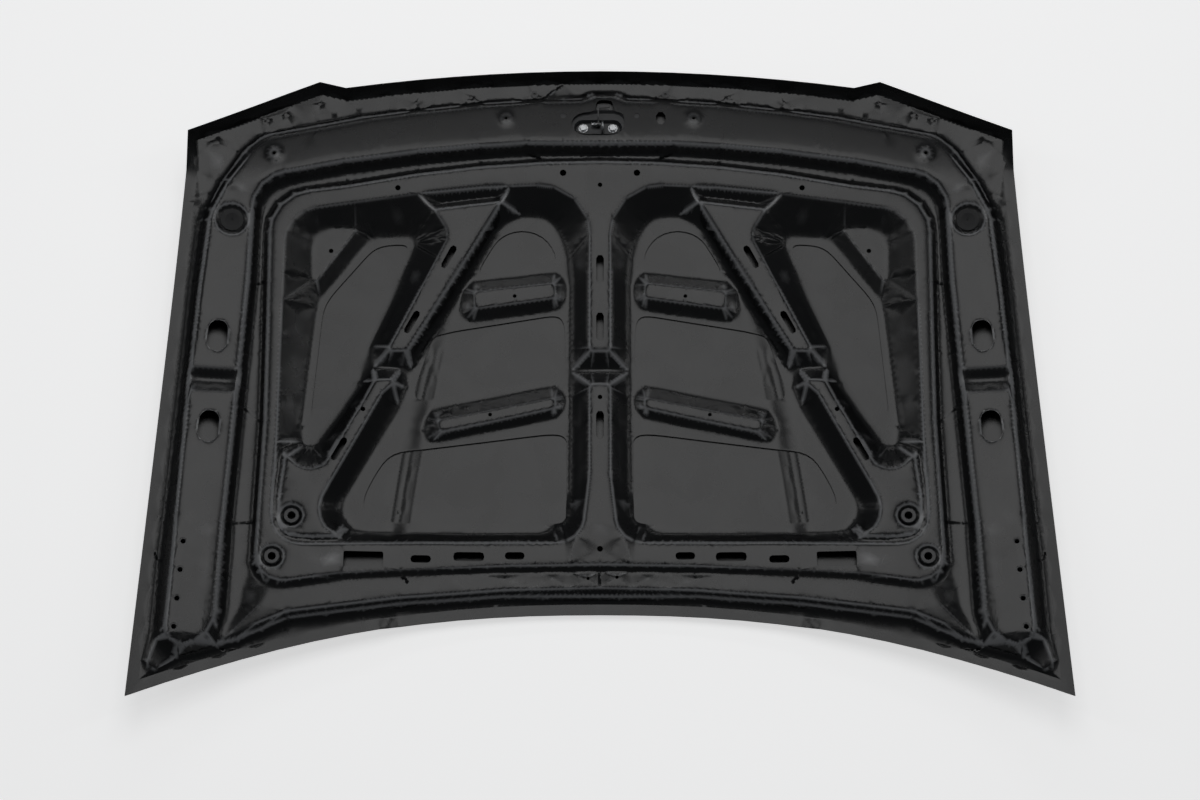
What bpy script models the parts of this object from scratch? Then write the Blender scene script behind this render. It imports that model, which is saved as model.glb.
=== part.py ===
"""Car bonnet, lying on its painted outer face with the inner panel up.

+X is the car's left-right axis, +Y points to the front (latch) edge, +Z up
out of the inner panel. Metres. The origin is the middle of the footprint at
the height of the surface that the bonnet lies on; the outlines below are drawn
from a point a little further back, and all pieces are shifted together at the end.
"""
import math

import bmesh
import bpy
from mathutils import Matrix, Vector
from mathutils.geometry import delaunay_2d_cdt

for old in list(bpy.data.objects):
    bpy.data.objects.remove(old, do_unlink=True)

# Sheet metal and clearances
SKIN_SHEET = 0.0008
PANEL_SHEET = 0.0008
GAP = 0.0003
HEM_WIDTH = 0.018
FRONT_HEM_WIDTH = 0.012
FOLD_WALL = 0.001
PANEL_EDGE_INSET = 0.0025
LIP_RISE = 0.020

# Plan of the outer edge
FRONT_Y = 0.576
FRONT_SWEEP = 0.174
VALLEY_X = 0.4485
PEAK = (0.494, 0.550)
FRONT_CORNER = (0.720, 0.452)
LIP_END_Y = 0.388
REAR_CORNER = (0.771, -0.543)
REAR_Y = -0.391
REAR_POWER = 2.3
SIDE_BOW = 0.003

# Crown of the skin, as heights over the lowest point
CROSS_CROWN = 0.07
ROLL_START = 0.55
ROLL_WIDTH = 0.25
ROLL_RISE = 0.030
LENGTH_BOW = 0.07
NOSE_BOW = 0.19
DOME_DEPTH = 0.006
DOME_HALF = 0.303
DOME_SPLAY = 0.19
DOME_CURL = 0.17
DOME_SLOPE_WIDTH = 0.036
DOME_FADE_START = -0.02
DOME_FADE_LENGTH = 0.28

# Heights of the pressed levels over the skin's inner face
FLANGE_LIFT = 0.002
FLOOR = 0.003
VALLEY = 0.006
DECK = 0.012
APRON = 0.020
BAR = 0.013
GROOVE = 0.016
RING = 0.027
REAR_BAR_DROP = 0.003
HAT = 0.035
HAT_FRONT_SLOPE = 0.05
FRONT_STEP = 0.003
DECK_WALL = 0.006
DECK_SIDE_WALL = 0.012
DECK_FOOT_INSET = 0.0215
TAB = 0.005

# Hat section: its inner rim, and its outer edge
HAT_RIM_Y = 0.446
HAT_RIM_SWEEP = 0.20
HAT_EDGE_Y = 0.525
DECK_EDGE_Y = 0.533
HAT_EDGE_SWEEP = 0.23
MOAT_WALL = 0.012

# Ring bead
RING_Y = 0.4147
RING_SWEEP = 0.2526
RING_SIDE_X = 0.5735
RING_WALL = 0.010
RIM_Y = 0.3768
RIM_SWEEP = 0.2186
RIM_SIDE_X = 0.550
RIM_REAR_Y = -0.270
SPINE_HALF = 0.0175
SPINE_FOOT_HALF = 0.050
NOTCH_Y = 0.042
NOTCH_HALF = 0.030

# Fastening points
HINGE_HOLES = ((0.691, -0.283), (0.693, -0.332), (0.695, -0.381), (0.697, -0.429))
HINGE_HOLE_R = 0.0065
HINGE_PAD = ((0.650, -0.262), (0.704, -0.262), (0.709, -0.440), (0.653, -0.440))
HINGE_PAD_CENTRE = (0.680, -0.350)
HINGE_PLATE = 0.0025
HINGE_PLATE_INSET = 0.003
HINGE_BORE_R = 0.0045
NUT_ACROSS = 0.013
NUT_HEIGHT = 0.0065
NUT_BORE_R = 0.004
COLLARS = ((0.5185, -0.2297, 0.007), (0.5475, -0.3019, 0.004))
COLLAR_R = 0.0135
COLLAR_BORE_R = 0.007
COLLAR_HEIGHT = 0.005
COLLAR_SPIGOT_R = 0.0092
COLLAR_SPIGOT = 0.006
COLLAR_RECESS_R = 0.0205
PLUG_XY = (0.640, 0.2957)
PLUG_SPIGOT_R = 0.0160
PLUG_RIM_R = 0.020
PLUG_RIM = 0.0025
PLUG_DEPTH = 0.007
PLUG_BORE_R = 0.0125
PLUG_RECESS_R = 0.029
PLUG_RECESS = 0.005
INSERT_XY = (0.1164, 0.5433)
INSERT_SPIGOT_R = 0.0040
INSERT_RIM_R = 0.0065
INSERT_RIM = 0.0012
INSERT_DEPTH = 0.001
INSERT_BORE_R = 0.0024
PADS = ((0.100, -0.2435), (0.190, -0.2435), (0.280, -0.2435), (0.5035, 0.060))
PAD_SIZE = (0.036, 0.009)

# Latch parts, placed on the middle plane of the bonnet
LATCH_PAD_HALF = 0.130
LATCH_X = -0.0035
OPENING_HALF = 0.0475
OPENING_Y = (0.459, 0.505)
OPENING_CORNER = 0.019
OPENING_TAB_X = (-0.0075, 0.0235)
OPENING_TAB_Y = 0.5285
TAB_BULGE = 0.009
LATCH_PLATE = 0.0015
LATCH_PLATE_X = 0.085
LATCH_PLATE_Y = (0.4485, 0.5185)
SHELF_DEPTH = 0.006
SHELF_WALL = 0.004
DISH_HALF = 0.0425
DISH_Y = (0.4625, 0.4925)
DISH_DEPTH = 0.014
DISH_WALL = 0.004
DISH_CORNER = 0.015
STRIKER_BASE = 0.0025
STRIKER_HALF = (0.036, 0.010)
STRIKER_Y = 0.4775
BOLT_SPREAD = 0.026
BOLT_SHANK_R = 0.003
BOLT_FLANGE_R = 0.0085
BOLT_FLANGE = 0.0015
BOLT_ACROSS = 0.0125
BOLT_HEAD = 0.0055
BOLT_TAIL = 0.006
LOOP_ROD_R = 0.0022
LOOP_Y = (0.4700, 0.4850)
LOOP_X = 0.0045
LOOP_HEIGHT = 0.022
CATCH_X = -0.0030
CATCH_SHEET = 0.0020
CATCH_PIVOT_Y = 0.4830
CATCH_PIVOT_LIFT = 0.0075
CATCH_BOSS_R = 0.0045
CATCH_TIP_Y = 0.5180
CATCH_ARM = 0.0045
CATCH_RISE = 0.0055
CATCH_TAB_X = 0.017
PIN_R = 0.0018
PIN_ENDS = (-0.0148, 0.0008)
PIN_HEAD_R = 0.0032
PIN_HEAD = 0.0012
EAR = 0.0016
EAR_GAP = 0.0004
EAR_R = 0.0042
SPRING_WIRE_R = 0.0007
SPRING_COIL_R = 0.0032
SPRING_TURNS = 3
SPRING_PITCH = 0.0018
SPRING_LEG = 0.0075

# Mesh spacing
FINE = 0.045
COARSE = 0.075
ARC_STEPS = ((0.009, math.radians(61)), (0.03, math.radians(36)), (9.9, math.radians(24)))
RIM_STEPS = 10
TURN_STEPS = 12


def smooth(share):
    share = min(1.0, max(0.0, share))
    return share * share * (3.0 - 2.0 * share)


def dome_half(y):
    """Half the width between the middles of the raised centre's two slopes."""
    return DOME_HALF - DOME_SPLAY * y - DOME_CURL * y * y


def skin_form(x, y):
    """Height of the skin's inner face, before the bonnet is set on the ground."""
    roll = max(0.0, (abs(x) - ROLL_START) / ROLL_WIDTH)
    z = CROSS_CROWN * x * x + ROLL_RISE * roll * roll
    z += LENGTH_BOW * y * y + NOSE_BOW * max(0.0, y) ** 3
    across = 1.0 - smooth((abs(x) - dome_half(y)) / DOME_SLOPE_WIDTH + 0.5)
    along = 1.0 - smooth((y - DOME_FADE_START) / DOME_FADE_LENGTH)
    return z - DOME_DEPTH * across * along


GROUND = SKIN_SHEET - min(skin_form(0.0, step * 0.002) for step in range(-60, 60))


def skin_z(x, y):
    return GROUND + skin_form(x, y)


def over_skin(level):
    return lambda x, y: skin_z(x, y) + level


def hat_rim(x):
    return HAT_RIM_Y - HAT_RIM_SWEEP * max(0.0, x * x - LATCH_PAD_HALF ** 2)


def hat_z(x, y):
    """The hat follows the skin at the sides and runs level over the latch."""
    flat_x = math.sqrt(max(0.0, x * x - LATCH_PAD_HALF ** 2))
    rim = hat_rim(x)
    if y <= rim:
        return skin_z(flat_x, y) + HAT
    return skin_z(flat_x, rim) + HAT - HAT_FRONT_SLOPE * (y - rim)


def hinge_plane_z(x, y):
    """Flat pad for the hinge, tangent to the hat at the pad's middle."""
    px, py = HINGE_PAD_CENTRE
    step = 0.002
    middle = skin_z(px, py)
    rise_x = (skin_z(px + step, py) - skin_z(px - step, py)) / (2 * step)
    rise_y = (skin_z(px, py + step) - skin_z(px, py - step)) / (2 * step)
    return middle + HAT + rise_x * (abs(x) - px) + rise_y * (y - py)


def ring_z(x, y):
    drop = REAR_BAR_DROP * smooth((0.46 - abs(x)) / 0.04) if y < RIM_REAR_Y + 0.01 else 0.0
    return skin_z(x, y) + RING - drop


def deck_z(x, y):
    """The deck carries the hat: low at the sides, just under the hat in front."""
    front = smooth((y - 0.33) / 0.10)
    side = skin_z(x, y) + DECK
    return side + front * (hat_z(x, y) - FRONT_STEP - side)


def ring_foot_z(x, y):
    rear = smooth((-0.31 - y) / 0.02) * smooth((0.585 - abs(x)) / 0.03)
    return skin_z(x, y) + DECK + rear * (APRON - DECK)


# Outlines. A corner is (x, y, radius); the z rule of an outline gives its heights.


def rounded(corners, spacing, closed=True):
    """Points of an outline: straight runs cut to the spacing, corners as arcs."""
    shaped = []
    count = len(corners)
    for index, (x, y, radius) in enumerate(corners):
        here = Vector((x, y))
        ends = not closed and index in (0, count - 1)
        if radius <= 0.0 or ends:
            shaped.append(here)
            continue
        before = Vector(corners[index - 1][:2]) - here
        after = Vector(corners[(index + 1) % count][:2]) - here
        turn = math.pi - before.angle(after)
        reach = radius * math.tan(turn / 2)
        limit = 0.48 * min(before.length, after.length)
        if reach > limit:
            radius *= limit / reach
            reach = limit
        arc_step = next(step for limit, step in ARC_STEPS if radius < limit)
        steps = max(1, math.ceil(turn / arc_step))
        start = here + before.normalized() * reach
        end = here + after.normalized() * reach
        centre = here + (before.normalized() + after.normalized()).normalized() * (
            math.hypot(reach, radius)
        )
        for step in range(steps + 1):
            share = step / steps
            spoke = (start - centre).lerp(end - centre, share)
            shaped.append(centre + spoke.normalized() * radius)
    points = []
    last = len(shaped) if closed else len(shaped) - 1
    for index in range(last):
        a, b = shaped[index], shaped[(index + 1) % len(shaped)]
        pieces = max(1, math.ceil((b - a).length / spacing))
        points += [a.lerp(b, piece / pieces) for piece in range(pieces)]
    if not closed:
        points.append(shaped[-1])
    return points


def widened(corners, width):
    """The same outline moved outwards by a width, its corners rounder by as much."""
    count = len(corners)
    area = sum(
        corners[i - 1][0] * corners[i][1] - corners[i][0] * corners[i - 1][1]
        for i in range(count)
    )
    side = 1.0 if area > 0 else -1.0
    moved = []
    for index, (x, y, radius) in enumerate(corners):
        here = Vector((x, y))
        into = (here - Vector(corners[index - 1][:2])).normalized()
        out = (Vector(corners[(index + 1) % count][:2]) - here).normalized()
        normal_in = Vector((into.y, -into.x)) * side
        normal_out = Vector((out.y, -out.x)) * side
        spoke = (normal_in + normal_out) / (1.0 + normal_in.dot(normal_out))
        place = here + spoke * width
        moved.append((place.x, place.y, max(0.0, radius + width)))
    return moved


def both_halves(half):
    """A chain from the front of the middle plane to its rear, closed by its mirror."""
    return half + [(-x, y, r) for x, y, r in reversed(half) if abs(x) > 1e-9]


def other_side(corners):
    return [(-x, y, r) for x, y, r in corners]


def bowed(front_y, sweep, stations):
    return [(x, front_y - sweep * x * x, 0.0) for x in stations]


def circle(x, y, radius, steps=RIM_STEPS):
    turn = 2 * math.pi / steps
    return [
        Vector((x + radius * math.cos(turn * i), y + radius * math.sin(turn * i)))
        for i in range(steps)
    ]


def clear_hole(x, y, radius, steps=RIM_STEPS):
    """A hole whose flats clear a round piece of this radius."""
    return circle(x, y, (radius + GAP) / math.cos(math.pi / steps), steps)


def slot(x, y, length, width, angle=0.0):
    """A slot with round ends, its length along +X before it is turned."""
    radius = width / 2
    reach = length / 2 - radius
    points = []
    for end, first in ((1, -90), (-1, 90)):
        for step in range(4):
            turn = math.radians(first + 60 * step)
            points.append((end * reach + radius * math.cos(turn), radius * math.sin(turn)))
    c, s = math.cos(angle), math.sin(angle)
    return [Vector((x + px * c - py * s, y + px * s + py * c)) for px, py in points]


def inside(point, polygon):
    x, y = point[0], point[1]
    found = False
    for index, here in enumerate(polygon):
        there = polygon[index - 1]
        if (here[1] > y) != (there[1] > y):
            cross = (there[0] - here[0]) * (y - here[1]) / (there[1] - here[1]) + here[0]
            found ^= x < cross
    return found


def area_mesh(border, lines, holes, points):
    """Triangles over a plan. Lines and holes are (points, z rule, closed)."""
    plan, heights, edges = [], [], []
    for outline, rule, closed in [border] + lines + holes:
        first = len(plan)
        plan += [Vector((p[0], p[1])) for p in outline]
        heights += [rule(p[0], p[1]) for p in outline]
        edges += [(first + i, first + i + 1) for i in range(len(outline) - 1)]
        if closed:
            edges.append((first + len(outline) - 1, first))
    for x, y, z in points:
        plan.append(Vector((x, y)))
        heights.append(z)
    made, _, faces, origins, _, _ = delaunay_2d_cdt(plan, edges, [], 0, 1e-6)
    placed = []
    for point, origin in zip(made, origins):
        z = heights[origin[0]] if origin else border[1](point.x, point.y)
        placed.append(Vector((point.x, point.y, z)))
    kept = []
    for face in faces:
        middle = sum((made[i] for i in face), Vector((0.0, 0.0))) / len(face)
        if not inside(middle, border[0]):
            continue
        if not any(inside(middle, hole[0]) for hole in holes):
            kept.append(list(face))
    return placed, kept


def finish(name, mesh, material, flat_angle=30):
    mesh.normal_update()
    data = bpy.data.meshes.new(name)
    mesh.to_mesh(data)
    mesh.free()
    data.shade_smooth()
    data.set_sharp_from_angle(angle=math.radians(flat_angle))
    obj = bpy.data.objects.new(name, data)
    obj.data.materials.append(material)
    bpy.context.scene.collection.objects.link(obj)
    return obj


def solid_from_area(name, placed, faces, offsets, material):
    """A closed sheet: the area is its lower face, the offsets lead to its upper one."""
    mesh = bmesh.new()
    low = [mesh.verts.new(p) for p in placed]
    high = [mesh.verts.new(p + o) for p, o in zip(placed, offsets)]
    uses = {}
    for face in faces:
        for a, b in zip(face, face[1:] + face[:1]):
            uses[(a, b)] = True
    for face in faces:
        mesh.faces.new([high[i] for i in face])
        mesh.faces.new([low[i] for i in reversed(face)])
    for a, b in uses:
        if (b, a) not in uses:
            mesh.faces.new([low[a], low[b], high[b], high[a]])
    loose = [v for v in mesh.verts if not v.link_faces]
    bmesh.ops.delete(mesh, geom=loose, context="VERTS")
    bmesh.ops.triangulate(mesh, faces=mesh.faces)
    return finish(name, mesh, material)


def sheet_offsets(placed, faces, thickness, upright):
    """Offsets square to the sheet, or straight up for the points named upright."""
    normals = [Vector((0, 0, 0)) for _ in placed]
    touching = [[] for _ in placed]
    for face in faces:
        a, b, c = (placed[i] for i in face[:3])
        normal = (b - a).cross(c - a)
        if normal.length < 1e-12:
            continue
        for i in face:
            normals[i] += normal
            touching[i].append(normal.normalized())
    offsets = []
    for index, normal in enumerate(normals):
        if index in upright or not touching[index]:
            offsets.append(Vector((0, 0, thickness)))
            continue
        normal = normal.normalized()
        mean = sum(normal.dot(n) for n in touching[index]) / len(touching[index])
        offsets.append(normal * (thickness / max(0.6, mean)))
    return offsets


def paint(name, colour, metallic, roughness):
    material = bpy.data.materials.new(name)
    material.use_nodes = True
    shader = material.node_tree.nodes["Principled BSDF"]
    shader.inputs["Base Color"].default_value = (*colour, 1.0)
    shader.inputs["Metallic"].default_value = metallic
    shader.inputs["Roughness"].default_value = roughness
    return material


# Outer edge of the skin, and the rings that the hem and the panel share


def edge_stations():
    """Half the outer edge: (x, y, share of lip, hem width), front to rear."""
    half = []
    for i in range(8):
        x = VALLEY_X * i / 7
        half.append((x, FRONT_Y - FRONT_SWEEP * x * x, 1.0, FRONT_HEM_WIDTH))
    half.append((*PEAK, 1.0, FRONT_HEM_WIDTH))
    for i in range(1, 5):
        share = i / 4
        x = PEAK[0] + (FRONT_CORNER[0] - PEAK[0]) * share
        y = PEAK[1] + (FRONT_CORNER[1] - PEAK[1]) * share
        half.append((x, y + SIDE_BOW * 4 * share * (1 - share), 1.0, FRONT_HEM_WIDTH))
    run = FRONT_CORNER[1] - REAR_CORNER[1]
    lip_run = FRONT_CORNER[1] - LIP_END_Y
    side_ys = [FRONT_CORNER[1] - lip_run / 2, LIP_END_Y]
    side_ys += [LIP_END_Y - (LIP_END_Y - REAR_CORNER[1]) * i / 15 for i in range(1, 16)]
    for y in side_ys:
        share = (FRONT_CORNER[1] - y) / run
        x = FRONT_CORNER[0] + (REAR_CORNER[0] - FRONT_CORNER[0]) * share
        lip = max(0.0, 1.0 - (FRONT_CORNER[1] - y) / lip_run)
        hem = HEM_WIDTH - (HEM_WIDTH - FRONT_HEM_WIDTH) * lip
        half.append((x + SIDE_BOW * 4 * share * (1 - share), y, lip, hem))
    depth = REAR_CORNER[1] - REAR_Y
    slope = dome_half(REAR_Y)
    rear_xs = [REAR_CORNER[0] * (1 - i / 13) for i in range(1, 14) if i != 7]
    rear_xs += [slope + DOME_SLOPE_WIDTH / 2, slope - DOME_SLOPE_WIDTH / 2]
    for x in sorted(rear_xs, reverse=True):
        y = REAR_Y + depth * (x / REAR_CORNER[0]) ** REAR_POWER
        half.append((x, y, 0.0, HEM_WIDTH))
    mirrored = [(-x, y, lip, hem) for x, y, lip, hem in reversed(half) if x > 1e-9]
    return half + mirrored


EDGE = edge_stations()


def edge_ring(inset, lift):
    """The outer edge moved inwards by an inset (None for the hem's own width)."""
    ring = []
    count = len(EDGE)
    for index, (x, y, lip, hem) in enumerate(EDGE):
        here = Vector((x, y))
        into = (here - Vector(EDGE[index - 1][:2])).normalized()
        out = (Vector(EDGE[(index + 1) % count][:2]) - here).normalized()
        normal_in, normal_out = Vector((into.y, -into.x)), Vector((out.y, -out.x))
        spoke = (normal_in + normal_out) / (1.0 + normal_in.dot(normal_out))
        depth = hem if inset is None else inset
        place = here + spoke * depth
        z = skin_z(place.x, place.y) + lift + LIP_RISE * lip * (1.0 - depth / hem)
        ring.append(Vector((place.x, place.y, z)))
    return ring


def add_strip(mesh, first, second):
    """Two rings joined by triangles whose diagonals all run the same way."""
    a = [mesh.verts.new(p) for p in first]
    b = [mesh.verts.new(p) for p in second]
    for i in range(len(a)):
        j = (i + 1) % len(a)
        mesh.faces.new((a[i], a[j], b[i]))
        mesh.faces.new((a[j], b[j], b[i]))


def hem_levels():
    under = GAP + PANEL_SHEET + GAP
    return under, under + SKIN_SHEET


def make_skin(material):
    """One pressed sheet, folded over the panel's edge all round."""
    mesh = bmesh.new()
    under, top = hem_levels()
    insets = (0.0, FOLD_WALL, PANEL_EDGE_INSET, None)
    outer = [edge_ring(inset, -SKIN_SHEET) for inset in insets]
    inner = [edge_ring(inset, 0.0) for inset in insets[1:]]
    hem_under = [edge_ring(inset, under) for inset in insets[1:]]
    hem_top = [edge_ring(inset, top) for inset in insets]
    for rings in (outer, inner, hem_under, hem_top):
        for first, second in zip(rings, rings[1:]):
            add_strip(mesh, first, second)
    add_strip(mesh, outer[0], hem_top[0])
    add_strip(mesh, inner[0], hem_under[0])
    add_strip(mesh, hem_under[-1], hem_top[-1])
    lines = []
    for side in (1, -1):
        for shift in (-0.5, 0.5):
            lines.append([])
            for i in range(11):
                y = 0.20 - 0.575 * i / 10
                lines[-1].append((side * (dome_half(y) + shift * DOME_SLOPE_WIDTH), y))
    points = []
    for column in range(-8, 9):
        for row in range(-5, 7):
            points.append((column * 0.088, row * 0.085 - 0.01))
    for lift in (0.0, -SKIN_SHEET):
        border = edge_ring(None, lift)
        rule = over_skin(lift)
        near_border = [Vector((p.x, p.y)) for p in edge_ring(0.045, 0.0)]
        grid = [
            (x, y, rule(x, y))
            for x, y in points
            if inside((x, y), near_border)
            and all(abs(x - lx) + abs(y - ly) > 0.03
                    for line in lines for lx, ly in line)
        ]
        outline = [(p.x, p.y) for p in border]
        runs = [(line, rule, False) for line in lines]
        runs.append(([(p.x, p.y) for p in near_border], rule, True))
        placed, faces = area_mesh((outline, rule, True), runs, [], grid)
        verts = [mesh.verts.new(p) for p in placed]
        for face in faces:
            mesh.faces.new([verts[i] for i in face])
    bmesh.ops.remove_doubles(mesh, verts=mesh.verts, dist=2e-6)
    bmesh.ops.recalc_face_normals(mesh, faces=mesh.faces)
    return finish("outer_skin", mesh, material, 40)


# Outlines of the pressed forms, right-hand side or whole


def hat_outline():
    side_out = [
        (0.421, 0.484, 0.0), (0.496, 0.467, 0.05), (0.580, 0.4475, 0.03),
        (0.611, 0.420, 0.04), (0.648, 0.362, 0.04), (0.677, 0.300, 0.05),
        (0.688, 0.181, 0.0), (0.697, 0.025, 0.0), (0.7125, -0.440, 0.02),
        (0.686, -0.459, 0.01), (0.652, -0.447, 0.03), (0.634, -0.405, 0.03),
    ]
    side_in = [
        (0.6307, -0.2436, 0.0), (0.618, 0.030, 0.0), (0.6096, 0.186, 0.0),
        (0.605, 0.375, 0.07),
    ]
    front_out = bowed(HAT_EDGE_Y, HAT_EDGE_SWEEP, (0.10, 0.21, 0.32))
    front_in = [(x, hat_rim(x), 0.0) for x in (0.45, 0.32, 0.21, LATCH_PAD_HALF)]
    half = front_out + side_out + side_in + front_in
    return tab_bulge(HAT_EDGE_Y, 0.0)[::-1] + half + other_side(half[::-1])


def tab_bulge(edge_y, width):
    """The front edge steps forward round the finger opening, from +X to -X."""
    left, right = OPENING_TAB_X
    reach, peak = 0.006 + width, edge_y + TAB_BULGE
    return [
        (right + reach + TAB_BULGE, edge_y, 0.008), (right + reach, peak, 0.008),
        (left - reach, peak, 0.008), (left - reach - TAB_BULGE, edge_y, 0.008),
    ]


def moat_foot_line():
    return both_halves(
        [(x, hat_rim(x) - MOAT_WALL, 0.0) for x in (0.0, LATCH_PAD_HALF, 0.21, 0.32, 0.45)]
        + [
            (0.593, 0.363, 0.058), (0.5975, 0.186, 0.0), (0.606, 0.030, 0.0),
            (0.6185, -0.2436, 0.0), (0.6205, -0.395, 0.03), (0.629, -0.433, 0.0),
        ]
    )


def deck_outline():
    half = bowed(DECK_EDGE_Y, HAT_EDGE_SWEEP, (0.10, 0.21, 0.32))
    half += [
        (0.421, 0.494, 0.0), (0.496, 0.477, 0.05), (0.590, 0.457, 0.03),
        (0.622, 0.428, 0.04), (0.659, 0.370, 0.04), (0.688, 0.310, 0.06),
        (0.697, 0.188, 0.0), (0.7225, -0.313, 0.0), (0.7255, -0.443, 0.03),
        (0.741, -0.485, 0.004), (0.727, -0.498, 0.004), (0.693, -0.473, 0.02),
        (0.633, -0.452, 0.0), (0.600, -0.441, 0.0), (0.519, -0.403, 0.0),
        (0.333, -0.3755, 0.0), (0.160, -0.361, 0.0),
    ]
    return tab_bulge(DECK_EDGE_Y, 0.004)[::-1] + half + other_side(half[::-1])


def deck_foot_lines():
    """The foot of the deck's wall, left out where the hem takes its place."""
    keep_in = [(p.x, p.y) for p in edge_ring(DECK_FOOT_INSET, 0.0)]
    foot = rounded(widened(deck_outline(), DECK_WALL), COARSE)
    for point in foot:
        side = smooth((abs(point.x) - 0.66) / 0.04) * (DECK_SIDE_WALL - DECK_WALL)
        point.x += math.copysign(side, point.x)
    runs = [[]]
    for point in foot:
        if inside(point, keep_in):
            runs[-1].append(point)
        elif runs[-1]:
            runs.append([])
    return [(run, over_skin(FLANGE_LIFT), False) for run in runs if len(run) > 1]


def deck_level(x, y):
    tab = smooth((-0.445 - y) / 0.045) * smooth((abs(x) - 0.66) / 0.05)
    return deck_z(x, y) - tab * (DECK - TAB)


def ring_outline():
    half = bowed(RING_Y, RING_SWEEP, (0.0, 0.10, 0.21, 0.32, 0.44))
    half += [
        (0.5755, 0.345, 0.075), (RING_SIDE_X, 0.19, 0.0), (0.5697, -0.062, 0.0),
        (0.573, -0.24, 0.0), (0.574, -0.350, 0.05), (0.4317, -0.3275, 0.0),
        (0.334, -0.3205, 0.0), (0.160, -0.311, 0.0), (0.0, -0.308, 0.0),
    ]
    return both_halves(half)


def recess_outline():
    """Rim of the big recess inside the ring: both sides, joined at the notch."""
    side = [
        (SPINE_HALF, NOTCH_Y + NOTCH_HALF, 0.006),
        (SPINE_HALF, RIM_Y - RIM_SWEEP * SPINE_HALF ** 2, 0.095),
        (0.21, RIM_Y - RIM_SWEEP * 0.21 ** 2, 0.0),
        (0.32, RIM_Y - RIM_SWEEP * 0.32 ** 2, 0.0),
        (0.43, RIM_Y - RIM_SWEEP * 0.43 ** 2, 0.0),
        (RIM_SIDE_X, 0.316, 0.065), (RIM_SIDE_X, 0.10, 0.0),
        (RIM_SIDE_X, -0.10, 0.0), (RIM_SIDE_X + 0.0015, -0.281, 0.05),
        (0.30, RIM_REAR_Y - 0.003, 0.0), (0.031, RIM_REAR_Y, 0.045),
        (SPINE_HALF, -0.150, 0.10), (SPINE_HALF, NOTCH_Y - NOTCH_HALF, 0.006),
    ]
    half = [(0.0, NOTCH_Y + NOTCH_HALF, 0.0)] + side + [(0.0, NOTCH_Y - NOTCH_HALF, 0.0)]
    return both_halves(half)


MAIN_FLOOR = [
    (SPINE_FOOT_HALF, NOTCH_Y, 0.0), (SPINE_FOOT_HALF, 0.200, 0.0),
    (0.056, 0.262, 0.08), (0.084, 0.322, 0.05), (0.139, 0.3295, 0.06),
    (0.180, 0.306, 0.03), (0.233, 0.211, 0.0), (0.279, 0.129, 0.0),
    (0.3265, NOTCH_Y, 0.0), (0.348, -0.028, 0.03), (0.419, -0.159, 0.0),
    (0.447, -0.213, 0.05), (0.418, -0.254, 0.05), (0.082, -0.254, 0.05),
    (SPINE_FOOT_HALF, -0.190, 0.05),
]
SIDE_FLOOR = [
    (0.315, 0.288, 0.014), (0.402, 0.283, 0.03), (0.493, 0.160, 0.03),
    (0.514, -0.066, 0.02), (0.507, -0.105, 0.018), (0.481, -0.103, 0.018),
    (0.4085, 0.012, 0.02), (0.411, NOTCH_Y, 0.0), (0.360, 0.162, 0.0),
]
RIB_FRONT_TOP = [
    (0.174, 0.341, 0.0), (0.333, 0.069, 0.004), (0.366, 0.068, 0.004),
    (0.283, 0.239, 0.05), (0.262, 0.282, 0.03), (0.290, 0.326, 0.0),
]
RIB_REAR_TOP = [
    (0.350, 0.016, 0.003), (0.374, -0.008, 0.01), (0.456, -0.167, 0.0),
    (0.478, -0.214, 0.05), (0.462, -0.252, 0.03), (0.432, -0.2635, 0.002),
    (0.5405, -0.2675, 0.045), (0.5405, -0.200, 0.0), (0.5325, -0.124, 0.002),
    (0.507, -0.147, 0.03), (0.476, -0.147, 0.03), (0.464, -0.135, 0.0),
    (0.404, -0.023, 0.0), (0.386, 0.014, 0.004),
]
CORNER_PAD = [(0.424, 0.296, 0.004), (0.500, 0.188, 0.004), (0.504, 0.296, 0.035)]
BARS = (
    (
        [(0.219, 0.182, 0.003), (0.080, 0.199, 0.003), (0.078, 0.173, 0.003),
         (0.218, 0.152, 0.003)],
        [(0.239, 0.188, 0.008), (0.219, 0.2035, 0.008), (0.072, 0.221, 0.01),
         (0.060, 0.197, 0.01), (0.062, 0.172, 0.008), (0.076, 0.155, 0.008),
         (0.228, 0.132, 0.01), (0.243, 0.151, 0.01)],
    ),
    (
        [(0.279, -0.052, 0.003), (0.078, -0.009, 0.003), (0.078, -0.027, 0.003),
         (0.273, -0.072, 0.003)],
        [(0.300, -0.047, 0.008), (0.285, -0.029, 0.008), (0.078, 0.016, 0.01),
         (0.062, -0.002, 0.01), (0.062, -0.022, 0.008), (0.078, -0.041, 0.008),
         (0.294, -0.087, 0.01), (0.306, -0.068, 0.01)],
    ),
)
WINDOWS = (
    [(0.220, 0.213, 0.006), (0.176, 0.290, 0.03), (0.139, 0.3035, 0.04),
     (0.098, 0.292, 0.03), (0.077, 0.262, 0.02), (0.073, 0.2365, 0.006)],
    [(0.324, -0.003, 0.008), (0.288, 0.108, 0.025), (0.062, 0.147, 0.012),
     (0.059, 0.035, 0.012), (0.318, -0.018, 0.008)],
    [(0.363, -0.109, 0.03), (0.426, -0.234, 0.03), (0.057, -0.232, 0.012),
     (0.057, -0.067, 0.012)],
    [(0.3385, 0.272, 0.010), (0.394, 0.266, 0.02), (0.481, 0.158, 0.02),
     (0.4965, -0.050, 0.007), (0.484, -0.055, 0.007), (0.3345, 0.262, 0.008)],
)
APRON_EDGE = [
    (0.556, -0.3625, 0.0), (0.566, -0.385, 0.01), (0.612, -0.434, 0.0),
    (0.519, -0.3935, 0.03), (0.333, -0.3665, 0.0), (0.160, -0.352, 0.0),
    (0.0, -0.348, 0.0),
]
APRON_FOOT = [(0.592, -0.352, 0.0), (0.595, -0.385, 0.0), (0.620, -0.421, 0.0)]
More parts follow.
